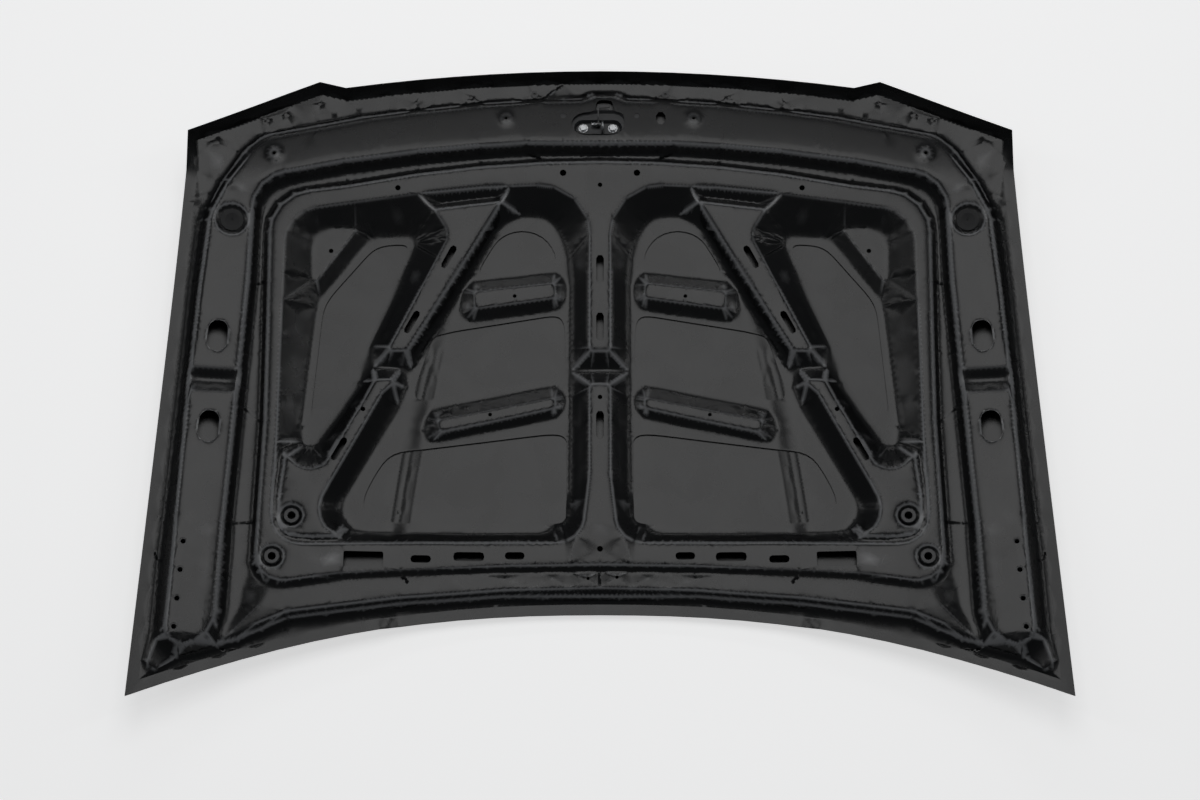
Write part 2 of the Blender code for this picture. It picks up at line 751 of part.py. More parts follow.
RIB_GROOVE = [(0.178, 0.3555, 0.0), (0.230, 0.349, 0.0), (0.283, 0.341, 0.0)]
PLATEAU_GROOVE = [
    (0.5415, -0.112, 0.0), (0.5452, -0.170, 0.0), (0.5455, -0.232, 0.0),
    (0.5372, -0.2535, 0.0), (0.521, -0.266, 0.0), (0.470, -0.2708, 0.0),
    (0.432, -0.2685, 0.0),
]


def apron_z(x, y):
    ridge = smooth((abs(x) - 0.53) / 0.08) * smooth((-0.385 - y) / 0.045)
    return skin_z(x, y) + APRON - ridge * (APRON - DECK - 0.002)


def floor_points(floor, windows, keep_off):
    """Extra points on a pocket floor where the dome's slope crosses it."""
    points = []
    for shift in (-0.5, 0.0, 0.5):
        for i in range(26):
            y = 0.24 - 0.5 * i / 25
            x = dome_half(y) + shift * DOME_SLOPE_WIDTH
            if not inside((x, y), floor) or any(inside((x, y), w) for w in windows):
                continue
            if all((Vector((x, y)) - p).length > 0.007 for p in keep_off):
                points.append((x, y, skin_z(x, y) + FLOOR))
    return points


def panel_holes():
    """Every hole of the panel, as (points, z rule, closed)."""
    holes = []
    floor = over_skin(FLOOR)
    for side in (1, -1):
        turn = (lambda c: c) if side == 1 else other_side
        for window in WINDOWS:
            holes.append((rounded(turn(window), FINE), floor, True))
        for x, y in HINGE_HOLES:
            holes.append((circle(side * x, y, HINGE_HOLE_R), hinge_plane_z, True))
        for (x, y, depth), rule in zip(COLLARS, (over_skin(RING), ring_z)):
            sunk = (lambda z, d: lambda px, py: z(px, py) - d)(rule, depth)
            holes.append((clear_hole(side * x, y, COLLAR_SPIGOT_R + GAP), sunk, True))
        cup = (lambda px, py: hat_z(px, py) - PLUG_RECESS)
        holes.append((clear_hole(side * PLUG_XY[0], PLUG_XY[1], PLUG_SPIGOT_R + GAP), cup, True))
        insert = clear_hole(side * INSERT_XY[0], INSERT_XY[1], INSERT_SPIGOT_R, 8)
        holes.append((insert, flange_z, True))
        lip = (lambda px, py: hat_z(px, py) + 0.003)
        for x, y in ((0.6547, 0.0835), (0.6615, -0.079)):
            tilt = math.radians(90 + 4 * side)
            holes.append((slot(side * x, y, 0.056, 0.033, tilt), lip, True))
        for x, y, r, rule in (
            (0.3546, 0.3635, 0.0050, ring_z), (0.065, 0.394, 0.0060, ring_z),
            (0.065, 0.4975, 0.0050, hat_z),
            (0.4049, -0.039, 0.0042, over_skin(RING)),
            (0.149, 0.175, 0.0035, over_skin(BAR)),
            (0.189, -0.040, 0.0035, over_skin(BAR)),
            (0.470, 0.252, 0.0042, over_skin(DECK)),
            (0.5707, 0.4189, 0.0030, lambda px, py: hat_z(px, py) + 0.005),
            (0.1658, 0.4915, 0.0025, lambda px, py: hat_z(px, py) + 0.004),
        ):
            holes.append((circle(side * x, y, r, 8), rule, True))
        for x, y in ((0.6775, 0.4445), (0.587, 0.488), (0.5558, 0.500), (0.4963, 0.5205),
                     (0.3269, 0.526), (0.2294, 0.5375)):
            holes.append((circle(side * x, y, 0.0032, 6), flange_z, True))
        for x, y, length, width, angle in (
            (0.2636, 0.2397, 0.046, 0.0115, -62.8), (0.3254, 0.120, 0.046, 0.0115, -62.8),
            (0.4431, -0.111, 0.046, 0.0115, -62.8),
        ):
            tilt = math.radians(angle if side == 1 else 180 - angle)
            holes.append((slot(side * x, y, length, width, tilt), over_skin(RING), True))
        for x, y, length, width in (
            (0.396, -0.3025, 0.066, 0.026), (0.3005, -0.301, 0.034, 0.013),
            (0.2203, -0.296, 0.052, 0.016), (0.1433, -0.294, 0.033, 0.013),
        ):
            radius = 0.003 if length > 0.06 else width * 0.45
            box = [(x - length / 2, y - width / 2, radius), (x + length / 2, y - width / 2, radius),
                   (x + length / 2, y + width / 2, radius), (x - length / 2, y + width / 2, radius)]
            holes.append((rounded(turn(box), 0.07), ring_z, True))
    for y in (0.2196, 0.1154, -0.0623):
        holes.append((slot(0.0, y, 0.052, 0.0135, math.pi / 2), over_skin(RING), True))
    for x, y, r, rule in (
        (0.0, -0.0118, 0.0042, over_skin(RING)), (0.0, -0.2815, 0.0052, ring_z),
        (0.0, 0.3725, 0.0042, ring_z), (0.0285, -0.330, 0.003, over_skin(APRON)),
        (-0.020, -0.332, 0.003, over_skin(APRON)),
    ):
        holes.append((circle(x, y, r, 8), rule, True))
    holes.append((rounded(opening_outline(), 0.03), hat_z, True))
    holes.append((slot(0.1074, 0.493, 0.036, 0.022, math.pi / 2), hat_z, True))
    return holes


def opening_outline():
    """The latch opening in the hat: a long oval with the finger opening in front."""
    x0, x1 = LATCH_X - OPENING_HALF, LATCH_X + OPENING_HALF
    y0, y1 = OPENING_Y
    tab0, tab1 = OPENING_TAB_X
    r = OPENING_CORNER
    return [
        (x0, y0, r), (x1, y0, r), (x1, y1, r), (tab1, y1, 0.004),
        (tab1, OPENING_TAB_Y, 0.005), (tab0, OPENING_TAB_Y, 0.005),
        (tab0, y1, 0.004), (x0, y1, r),
    ]


def flange_z(x, y):
    return skin_z(x, y) + FLANGE_LIFT


def make_panel(material):
    """One pressed inner panel, with its hat, ring, ribs, bars and windows."""
    rule_ring = over_skin(RING)
    rule_floor = over_skin(FLOOR)
    lines = [
        (rounded(deck_outline(), COARSE), deck_level, True),
        (rounded(hat_outline(), COARSE), hat_z, True),
        (rounded(ring_outline(), COARSE), ring_z, True),
        (rounded(widened(ring_outline(), RING_WALL), COARSE), ring_foot_z, True),
        (rounded(recess_outline(), COARSE), ring_z, True),
    ]
    lines += deck_foot_lines()
    moat = moat_foot_line()
    turn_back = len(moat) // 2
    right = moat[:turn_back + 1]
    moat_points = rounded(other_side(right[:0:-1]) + right, COARSE, closed=False)
    lines.append((moat_points, over_skin(DECK), False))
    apron = APRON_EDGE + other_side(APRON_EDGE[-2::-1])
    lines.append((rounded(apron, COARSE, closed=False), apron_z, False))
    notch = [(-SPINE_FOOT_HALF, NOTCH_Y, 0.0), (SPINE_FOOT_HALF, NOTCH_Y, 0.0)]
    lines.append((rounded(notch, 0.05, closed=False)[1:-1], over_skin(VALLEY), False))
    floor_loops = {}
    for side in (1, -1):
        turn = (lambda c: c) if side == 1 else other_side
        for name, floor in (("main", MAIN_FLOOR), ("side", SIDE_FLOOR)):
            floor_loops[name, side] = rounded(turn(floor), FINE)
            lines.append((floor_loops[name, side], rule_floor, True))
        for top in (RIB_FRONT_TOP, RIB_REAR_TOP):
            lines.append((rounded(turn(top), COARSE), rule_ring, True))
        lines.append((rounded(turn(CORNER_PAD), COARSE), over_skin(DECK), True))
        for top, foot in BARS:
            lines.append((rounded(turn(top), COARSE), over_skin(BAR), True))
            lines.append((rounded(turn(foot), FINE), rule_floor, True))
        for groove, level in ((RIB_GROOVE, DECK), (PLATEAU_GROOVE, GROOVE), (APRON_FOOT, DECK)):
            lines.append((rounded(turn(groove), COARSE, closed=False), over_skin(level), False))
        valley = [(0.345, NOTCH_Y, 0.0), (0.392, NOTCH_Y, 0.0)]
        lines.append((rounded(turn(valley), 0.03, closed=False), over_skin(VALLEY), False))
        for y, sink in ((0.026, 0.0), (0.005, 0.009), (-0.017, 0.0)):
            bead = [(0.6225, y, 0.0), (0.694, y, 0.0)]
            sunk = (lambda d: lambda px, py: hat_z(px, py) - d)(sink)
            lines.append((rounded(turn(bead), 0.04, closed=False), sunk, False))
        pad = [(x, y, 0.0) for x, y in HINGE_PAD]
        lines.append((rounded(turn(pad), 0.06), hinge_plane_z, True))
        for (x, y, depth), rule in zip(COLLARS, (rule_ring, ring_z)):
            sunk = (lambda z, d: lambda px, py: z(px, py) - d)(rule, depth)
            lines.append((circle(side * x, y, COLLAR_RECESS_R), rule, True))
            lines.append((circle(side * x, y, COLLAR_RECESS_R - 0.003), sunk, True))
        x, y = PLUG_XY
        cup = (lambda px, py: hat_z(px, py) - PLUG_RECESS)
        lines.append((circle(side * x, y, PLUG_RECESS_R, 16), hat_z, True))
        lines.append((circle(side * x, y, PLUG_RECESS_R - 0.004, 16), cup, True))
        for x, y in ((0.6547, 0.0835), (0.6615, -0.079)):
            tilt = math.radians(90 + 4 * side)
            lines.append((slot(side * x, y, 0.066, 0.043, tilt), hat_z, True))
        lines.append((circle(side * 0.5707, 0.4189, 0.0175), hat_z, True))
        lines.append((circle(side * 0.1658, 0.4915, 0.0140), hat_z, True))
    holes = panel_holes()
    keep_off = [p for outline, _, _ in lines + holes for p in outline]
    points = []
    for side in (1, -1):
        loop = [(abs(p.x), p.y) for p in floor_loops["main", side]]
        windows = [rounded(w, FINE) for w in WINDOWS]
        feet = [rounded(foot, FINE) for _, foot in BARS]
        spots = floor_points(loop, windows + feet, keep_off)
        points += [(side * x, y, z) for x, y, z in spots]
    hat_spots = [(s * x, y) for s in (1, -1) for x, y in (
        (0.20, 0.470), (0.28, 0.468), (0.36, 0.455), (0.44, 0.442), (0.52, 0.425),
        (0.60, 0.395), (0.645, 0.345), (0.650, 0.240), (0.650, 0.185), (0.655, 0.140),
        (0.665, -0.130), (0.670, -0.175), (0.672, -0.220))]
    points += [(x, y, hat_z(x, y)) for x, y in hat_spots if clear_of(x, y, keep_off)]
    ring_spots = [(s * x, y) for s in (1, -1) for x, y in (
        (0.45, -0.305), (0.47, -0.305), (0.50, -0.200), (0.47, -0.245), (0.50, -0.170))]
    points += [(x, y, ring_z(x, y)) for x, y in ring_spots if clear_of(x, y, keep_off)]
    apron_spots = [(s * x, y) for s in (1, -1) for x, y in (
        (0.08, -0.332), (0.16, -0.334), (0.24, -0.338), (0.32, -0.344), (0.40, -0.352),
        (0.47, -0.362), (0.53, -0.376))]
    points += [(x, y, apron_z(x, y)) for x, y in apron_spots if clear_of(x, y, keep_off)]
    border = edge_ring(None, 0.0)
    outline = ([(p.x, p.y) for p in border], skin_z, True)
    placed, faces = area_mesh(outline, lines, holes, points)
    first = len(placed)
    edge = edge_ring(PANEL_EDGE_INSET, 0.0)
    match = {(round(p.x, 5), round(p.y, 5)): i for i, p in enumerate(placed)}
    inner = [match[(round(p.x, 5), round(p.y, 5))] for p in border]
    placed += edge
    for i in range(len(edge)):
        j = (i + 1) % len(edge)
        faces.append([first + i, first + j, inner[i]])
        faces.append([first + j, inner[j], inner[i]])
    for face in faces:
        a, b, c = (placed[i] for i in face[:3])
        if (b - a).cross(c - a).z < 0:
            face.reverse()
    lifted = [p + Vector((0, 0, GAP)) for p in placed]
    upright = set(inner) | set(range(first, len(placed)))
    offsets = sheet_offsets(lifted, faces, PANEL_SHEET, upright)
    return solid_from_area("inner_panel", lifted, faces, offsets, material)


def clear_of(x, y, others, room=0.012):
    return all((Vector((x, y)) - p).length > room for p in others)


# Small solids, each built round its own axis and then set in place


def set_on(rule, x, y, lift):
    """A frame on a surface: its origin is lifted along the surface's normal."""
    step = 0.002
    normal = Vector((
        (rule(x - step, y) - rule(x + step, y)) / (2 * step),
        (rule(x, y - step) - rule(x, y + step)) / (2 * step),
        1.0,
    )).normalized()
    turn = Vector((0, 0, 1)).rotation_difference(normal).to_matrix().to_4x4()
    origin = Vector((x, y, rule(x, y))) + normal * lift
    return Matrix.Translation(origin) @ turn


def round_ring(radius, steps=TURN_STEPS):
    turn = 2 * math.pi / steps
    return [(radius * math.cos(turn * i), radius * math.sin(turn * i)) for i in range(steps)]


def hex_ring(across, steps=TURN_STEPS):
    """A hexagon as a ring whose every second point is the middle of a flat."""
    ring = []
    for i in range(steps):
        turn = 2 * math.pi * i / steps
        off = (turn + math.pi / 6) % (math.pi / 3) - math.pi / 6
        radius = across / 2 / math.cos(math.pi / 6 - abs(off))
        ring.append((radius * math.cos(turn), radius * math.sin(turn)))
    return ring


def add_stack(mesh, rings, matrix, bored):
    """Rings of equal counts joined one to the next. A bored stack closes on itself."""
    loops = [[mesh.verts.new(matrix @ Vector((x, y, z))) for x, y in ring] for ring, z in rings]
    pairs = list(zip(loops, loops[1:]))
    if bored:
        pairs.append((loops[-1], loops[0]))
    for low, high in pairs:
        for i in range(len(low)):
            j = (i + 1) % len(low)
            mesh.faces.new((low[i], low[j], high[j], high[i]))
    if not bored:
        mesh.faces.new(loops[0][::-1])
        mesh.faces.new(loops[-1])


def stack(name, rings, matrix, material, bored=True):
    mesh = bmesh.new()
    add_stack(mesh, rings, matrix, bored)
    bmesh.ops.recalc_face_normals(mesh, faces=mesh.faces)
    return finish(name, mesh, material)


def profile_rings(profile):
    return [(round_ring(radius), z) for radius, z in profile]


def plate(name, outline, rule, thickness, material, holes=(), lines=(), points=()):
    """A sheet whose top follows a rule and whose thickness is straight down."""
    top = lambda x, y: rule(x, y) - thickness
    placed, faces = area_mesh(
        (outline, top, True),
        [(line, (lambda r: lambda x, y: r(x, y) - thickness)(r), c) for line, r, c in lines],
        [(hole, (lambda r: lambda x, y: r(x, y) - thickness)(r), True) for hole, r in holes],
        [(x, y, rule(x, y) - thickness) for x, y in points],
    )
    for face in faces:
        a, b, c = (placed[i] for i in face[:3])
        if (b - a).cross(c - a).z < 0:
            face.reverse()
    offsets = [Vector((0, 0, thickness)) for _ in placed]
    return solid_from_area(name, placed, faces, offsets, material)


def add_rod(mesh, path, radius, sides):
    """A round wire along a path, with flat ends."""
    loops = []
    side = Vector((0, 0, 1)).orthogonal()
    for index, place in enumerate(path):
        ahead = path[min(index + 1, len(path) - 1)] - path[max(index - 1, 0)]
        ahead.normalize()
        if index == 0:
            side = ahead.orthogonal().normalized()
        side = (side - ahead * side.dot(ahead)).normalized()
        up = ahead.cross(side)
        ring = []
        for i in range(sides):
            turn = 2 * math.pi * i / sides
            ring.append(mesh.verts.new(
                place + radius * (math.cos(turn) * side + math.sin(turn) * up)))
        loops.append(ring)
    for low, high in zip(loops, loops[1:]):
        for i in range(sides):
            j = (i + 1) % sides
            mesh.faces.new((low[i], low[j], high[j], high[i]))
    mesh.faces.new(loops[0][::-1])
    mesh.faces.new(loops[-1])


def join(base, tools, operation):
    for tool in tools:
        step = base.modifiers.new(tool.name, "BOOLEAN")
        step.operation = operation
        step.object = tool
        step.solver = "EXACT"
        tool.hide_render = True
        tool.display_type = "WIRE"


def make_hinge_side(side, name):
    """The hinge's reinforcement plate under the hat, with its four weld nuts."""
    turned = [(side * x, y, 0.0) for x, y in HINGE_PAD]
    outline = rounded(widened(turned, -HINGE_PLATE_INSET), 0.2)
    holes = [
        (circle(side * x, y, HINGE_BORE_R), hinge_plane_z) for x, y in HINGE_HOLES
    ]
    plate("hinge_plate_" + name, outline, hinge_plane_z, HINGE_PLATE, BRACKET, holes)
    drop = HINGE_PLATE * 1.03 + GAP
    for index, (x, y) in enumerate(HINGE_HOLES):
        rings = [
            (hex_ring(NUT_ACROSS), -NUT_HEIGHT), (hex_ring(NUT_ACROSS), 0.0),
            (round_ring(NUT_BORE_R), 0.0), (round_ring(NUT_BORE_R), -NUT_HEIGHT),
        ]
        frame = set_on(hinge_plane_z, side * x, y, -drop)
        stack(f"hinge_nut_{name}_{index + 1}", rings, frame, BRACKET)


def make_collars(side, name):
    """Two ringed nuts in recesses of the rear bar, their spigots through the panel."""
    rise = GAP + PANEL_SHEET + GAP
    for index, (x, y, depth) in enumerate(COLLARS):
        rings = profile_rings([
            (COLLAR_BORE_R, -COLLAR_SPIGOT), (COLLAR_SPIGOT_R, -COLLAR_SPIGOT),
            (COLLAR_SPIGOT_R, 0.0), (COLLAR_R, 0.0), (COLLAR_R, COLLAR_HEIGHT - 0.001),
            (COLLAR_R - 0.001, COLLAR_HEIGHT), (COLLAR_BORE_R, COLLAR_HEIGHT),
        ])
        sunk = (lambda r, d: lambda px, py: r(px, py) - d)((over_skin(RING), ring_z)[index], depth)
        stack(f"collar_nut_{name}_{index + 1}", rings, set_on(sunk, side * x, y, rise), BRACKET)


def make_plug(side, name):
    """A rubber plug in the front corner of the hat."""
    x, y = PLUG_XY
    rise = GAP + PANEL_SHEET + GAP
    rings = profile_rings([
        (PLUG_BORE_R, -PLUG_DEPTH), (PLUG_SPIGOT_R, -PLUG_DEPTH),
        (PLUG_SPIGOT_R, 0.0), (PLUG_RIM_R, 0.0), (PLUG_RIM_R, PLUG_RIM),
        (PLUG_BORE_R, PLUG_RIM), (0.001, 0.0), (0.001, -PLUG_RIM),
        (PLUG_BORE_R - 0.001, -PLUG_RIM),
    ])
    cup = (lambda px, py: hat_z(px, py) - PLUG_RECESS)
    stack("plug_" + name, rings, set_on(cup, side * x, y, rise), RUBBER)


def make_insert(side, name):
    """A rivet nut in the front flange."""
    x, y = INSERT_XY
    rise = GAP + PANEL_SHEET + GAP
    rings = profile_rings([
        (INSERT_BORE_R, -INSERT_DEPTH), (INSERT_SPIGOT_R, -INSERT_DEPTH),
        (INSERT_SPIGOT_R, 0.0), (INSERT_RIM_R, 0.0), (INSERT_RIM_R, INSERT_RIM),
        (INSERT_BORE_R, INSERT_RIM),
    ])
    stack("rivet_nut_" + name, rings, set_on(flange_z, side * x, y, rise), BRACKET)


def make_pads(side, name):
    """Mastic pads that keep the floor of the panel off the skin."""
    length, width = PAD_SIZE
    for index, (x, y) in enumerate(PADS):
        along = math.pi / 2 if index == len(PADS) - 1 else 0.0
        outline = slot(side * x, y, length, width, along)
        plate(f"mastic_pad_{name}_{index + 1}", outline, over_skin(FLOOR), FLOOR - GAP, MASTIC)


def shelf_z(depth):
    return lambda x, y: hat_z(x, y) - depth


def box_outline(half, y0, y1, radius, grow=0.0):
    x0, x1 = LATCH_X - half - grow, LATCH_X + half + grow
    y0, y1 = y0 - grow, y1 + grow
    corners = [(x0, y0, radius), (x1, y0, radius), (x1, y1, radius), (x0, y1, radius)]
    return rounded(corners, 0.05)


def bolt_places():
    return [(LATCH_X - BOLT_SPREAD, STRIKER_Y), (LATCH_X + BOLT_SPREAD, STRIKER_Y)]


def make_latch_plate():
    """The dished reinforcement under the latch opening."""
    y0, y1 = LATCH_PLATE_Y
    half = LATCH_PLATE_X
    tab0, tab1 = OPENING_TAB_X
    notch = OPENING_Y[1] + 0.0045
    tongue = notch + 0.003
    outline = rounded([
        (-half, y0, 0.004), (half, y0, 0.004), (half, y1, 0.004),
        (tab1 + 0.004, y1, 0.0), (tab1 + 0.004, notch, 0.0), (tab1 - 0.008, notch, 0.0),
        (tab1 - 0.0105, tongue, 0.002), (tab0 + 0.0075, tongue, 0.002),
        (tab0 + 0.005, notch, 0.0), (tab0 - 0.004, notch, 0.0), (tab0 - 0.004, y1, 0.0),
        (-half, y1, 0.004),
    ], 0.12)
    oy0, oy1 = OPENING_Y
    dy0, dy1 = DISH_Y
    lines = [
        (box_outline(OPENING_HALF, oy0, oy1, OPENING_CORNER, SHELF_WALL), shelf_z(0.0), True),
        (box_outline(OPENING_HALF, oy0, oy1, OPENING_CORNER, 0.0), shelf_z(SHELF_DEPTH), True),
        (box_outline(DISH_HALF, dy0, dy1, DISH_CORNER), shelf_z(SHELF_DEPTH), True),
        (box_outline(DISH_HALF, dy0, dy1, DISH_CORNER, -DISH_WALL), shelf_z(DISH_DEPTH), True),
    ]
    floor = shelf_z(DISH_DEPTH)
    holes = [(clear_hole(x, y, BOLT_SHANK_R), floor) for x, y in bolt_places()]
    plate("latch_plate", outline, hat_z, LATCH_PLATE, BRACKET, holes, lines)


def make_striker():
    """Base, two bolts and loop of the striker, all set on the floor of the dish."""
    half_x, half_y = STRIKER_HALF
    outline = rounded([
        (LATCH_X - half_x, STRIKER_Y - half_y, 0.008), (LATCH_X + half_x, STRIKER_Y - half_y, 0.008),
        (LATCH_X + half_x, STRIKER_Y + half_y, 0.008), (LATCH_X - half_x, STRIKER_Y + half_y, 0.008),
    ], 0.1)
    base_top = shelf_z(DISH_DEPTH - GAP - STRIKER_BASE)
    holes = [(clear_hole(x, y, BOLT_SHANK_R), base_top) for x, y in bolt_places()]
    holes += [(clear_hole(LOOP_X, y, LOOP_ROD_R), base_top) for y in LOOP_Y]
    base = plate("striker_base", outline, base_top, STRIKER_BASE, BRACKET, holes)
    pivot = Vector((0.0, CATCH_PIVOT_Y, pivot_z()))
    ears = []
    bore = PIN_R + GAP
    for x in (CATCH_X - CATCH_SHEET / 2 - EAR_GAP - EAR, CATCH_X + CATCH_SHEET / 2 + EAR_GAP):
        turn = Matrix.Rotation(math.pi / 2, 4, "Y")
        frame = Matrix.Translation(Vector((x, pivot.y, pivot.z))) @ turn
        outer = round_ring(EAR_R, 16)
        low = pivot.z - base_top(0.0, CATCH_PIVOT_Y) + STRIKER_BASE / 2
        outer = [(low if px > 0.0 else px, py) for px, py in outer]
        rings = [
            (outer, 0.0), (outer, EAR), (round_ring(bore, 16), EAR), (round_ring(bore, 16), 0.0),
        ]
        ears.append(stack("striker_ear", rings, frame, BRACKET))
    join(base, ears, "UNION")
    for (x, y), name in zip(bolt_places(), ("left", "right")):
        frame = set_on(base_top, x, y, GAP)
        shank = -(GAP + STRIKER_BASE + GAP + LATCH_PLATE + BOLT_TAIL)
        rings = [
            (round_ring(BOLT_SHANK_R), shank), (round_ring(BOLT_SHANK_R), 0.0),
            (round_ring(BOLT_FLANGE_R), 0.0), (round_ring(BOLT_FLANGE_R), BOLT_FLANGE),
            (hex_ring(BOLT_ACROSS), BOLT_FLANGE), (hex_ring(BOLT_ACROSS), BOLT_HEAD - 0.0007),
            (round_ring(BOLT_ACROSS / 2 - 0.0007), BOLT_HEAD),
        ]
        stack("striker_bolt_" + name, rings, frame, BRIGHT, bored=False)
    mesh = bmesh.new()
    y0, y1 = LOOP_Y
    bend = (y1 - y0) / 2
    top = base_top(0.0, STRIKER_Y) + LOOP_HEIGHT - STRIKER_BASE - bend
    path = [Vector((LOOP_X, y1, base_top(0.0, y1) - STRIKER_BASE))]
    for step in range(9):
        turn = math.pi * step / 8
        path.append(Vector((
            LOOP_X, (y0 + y1) / 2 + bend * math.cos(turn), top + bend * math.sin(turn))))
    path.append(Vector((LOOP_X, y0, base_top(0.0, y0) - STRIKER_BASE)))
    add_rod(mesh, path, LOOP_ROD_R, 8)
    bmesh.ops.recalc_face_normals(mesh, faces=mesh.faces)
    finish("striker_loop", mesh, BRIGHT)


def pivot_z():
    return shelf_z(DISH_DEPTH - GAP - STRIKER_BASE)(0.0, CATCH_PIVOT_Y) + CATCH_PIVOT_LIFT


def make_catch():
    """The safety catch: a sheet lever on a pin, with its finger tab and its spring."""
    z = pivot_z()
    y = CATCH_PIVOT_Y
    rise = CATCH_RISE
    arm = [
        (CATCH_TIP_Y, z + rise - CATCH_ARM / 2, 0.0), (CATCH_TIP_Y, z + rise + CATCH_ARM / 2, 0.0),
        (y + 0.012, z + rise + CATCH_ARM / 2, 0.006), (y + 0.003, z + CATCH_BOSS_R, 0.002),
        (y - 0.003, z + CATCH_BOSS_R, 0.003), (y - CATCH_BOSS_R, z, 0.002),
        (y - 0.003, z - CATCH_BOSS_R, 0.003), (y + 0.003, z - CATCH_BOSS_R, 0.003),
        (y + 0.014, z + rise - CATCH_ARM / 2, 0.006),
    ]
    outline = rounded(arm, 0.05)
    bore = circle(y, z, PIN_R + GAP)
    flat = lambda u, v: 0.0
    placed, faces = area_mesh((outline, flat, True), [], [(bore, flat, True)], [])
    left = CATCH_X - CATCH_SHEET / 2
    placed = [Vector((left, p.x, p.y)) for p in placed]
    for face in faces:
        a, b, c = (placed[i] for i in face[:3])
        if (b - a).cross(c - a).x < 0:
            face.reverse()
    offsets = [Vector((CATCH_SHEET, 0, 0)) for _ in placed]
    lever = solid_from_area("safety_catch", placed, faces, offsets, BRACKET)
    low = z + rise - CATCH_ARM / 2
    tab = bmesh.new()
    corners = [
        (left + 0.0004, CATCH_TIP_Y - 0.006), (CATCH_TAB_X, CATCH_TIP_Y - 0.0045),
        (CATCH_TAB_X, CATCH_TIP_Y - 0.0003), (left + 0.0004, CATCH_TIP_Y - 0.0003),
    ]
    rings = [(corners, low + 0.0004), (corners, low + 0.0004 + CATCH_SHEET)]
    add_stack(tab, rings, Matrix.Identity(4), bored=False)
    bmesh.ops.recalc_face_normals(tab, faces=tab.faces)
    join(lever, [finish("catch_tab", tab, BRACKET)], "UNION")
    pivot = Vector((0.0, y, z))
    lever.data.transform(Matrix.Translation(-pivot))
    lever.location = pivot
    turn = Matrix.Rotation(math.pi / 2, 4, "Y")
    pin_left, pin_right = PIN_ENDS
    frame = Matrix.Translation(Vector((pin_left, y, z))) @ turn
    rings = [
        (round_ring(PIN_HEAD_R), 0.0), (round_ring(PIN_HEAD_R), PIN_HEAD),
        (round_ring(PIN_R), PIN_HEAD), (round_ring(PIN_R), pin_right - pin_left),
    ]
    stack("catch_pin", rings, frame, BRIGHT, bored=False)
    mesh = bmesh.new()
    ear_left = CATCH_X - CATCH_SHEET / 2 - EAR_GAP - EAR
    start = ear_left - GAP - SPRING_WIRE_R
    steps = 10 * SPRING_TURNS
    path = [Vector((start, y - SPRING_COIL_R, z - SPRING_LEG / 2))]
    for step in range(steps + 1):
        turn = math.pi - 2 * math.pi * step / 10
        x = start - SPRING_PITCH * step / 10
        path.append(Vector((x, y + SPRING_COIL_R * math.cos(turn), z + SPRING_COIL_R * math.sin(turn))))
    path.append(path[-1] + Vector((0, 0, -SPRING_LEG / 2)))
    path[-1].y = y - SPRING_COIL_R
    add_rod(mesh, path, SPRING_WIRE_R, 6)
    bmesh.ops.recalc_face_normals(mesh, faces=mesh.faces)
    finish("catch_spring", mesh, BRIGHT)


BLACK = paint("e_coat_black", (0.035, 0.036, 0.038), 0.0, 0.38)
SKIN_BLACK = paint("e_coat_skin", (0.035, 0.036, 0.038), 0.0, 0.42)
BRACKET = paint("coated_bracket", (0.10, 0.10, 0.105), 0.2, 0.45)
BRIGHT = paint("zinc_plate", (0.62, 0.63, 0.64), 0.9, 0.35)
RUBBER = paint("plug_rubber", (0.03, 0.03, 0.03), 0.0, 0.6)
MASTIC = paint("mastic", (0.12, 0.12, 0.125), 0.0, 0.8)

make_skin(SKIN_BLACK)
make_panel(BLACK)
for direction, label in ((1, "right"), (-1, "left")):
    make_hinge_side(direction, label)
    make_collars(direction, label)
    make_plug(direction, label)
    make_insert(direction, label)
    make_pads(direction, label)
make_latch_plate()
make_striker()
make_catch()

for piece in bpy.data.objects:
    piece.location.y -= (FRONT_Y + REAR_CORNER[1]) / 2
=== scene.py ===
import math

import bmesh
import bpy
from mathutils import Matrix, Vector
from mathutils.bvhtree import BVHTree
from mathutils.kdtree import KDTree


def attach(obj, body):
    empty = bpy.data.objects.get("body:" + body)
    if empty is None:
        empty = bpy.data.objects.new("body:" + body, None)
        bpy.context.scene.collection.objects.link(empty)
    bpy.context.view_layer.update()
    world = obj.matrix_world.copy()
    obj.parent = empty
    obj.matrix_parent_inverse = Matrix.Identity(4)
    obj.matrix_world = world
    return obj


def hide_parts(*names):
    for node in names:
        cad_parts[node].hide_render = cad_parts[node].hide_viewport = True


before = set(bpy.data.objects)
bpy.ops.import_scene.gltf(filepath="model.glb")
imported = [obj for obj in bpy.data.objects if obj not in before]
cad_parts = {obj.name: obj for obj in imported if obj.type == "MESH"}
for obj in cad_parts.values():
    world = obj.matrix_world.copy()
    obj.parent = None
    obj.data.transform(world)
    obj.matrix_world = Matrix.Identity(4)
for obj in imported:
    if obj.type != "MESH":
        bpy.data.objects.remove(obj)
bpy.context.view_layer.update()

# The crown that both steel sheets of the bonnet are pressed to: a shallow bowl,
# rolled up at the sides and the nose, with the raised centre sunk below it.
# Distances along the bonnet start from a line MIDDLE_Y behind the frame's middle.
MIDDLE_Y = 0.0165
GROUND = 0.0068
BOWL = 0.07
ROLL_START, ROLL_WIDTH, ROLL_RISE = 0.55, 0.25, 0.03
NOSE_LIFT = 0.19
DOME_HALF, DOME_TAPER, DOME_CURVE = 0.303, 0.19, 0.17
DOME_STEP, DOME_SINK = 0.036, 0.006
DOME_LINE, DOME_FADE = -0.02, 0.28


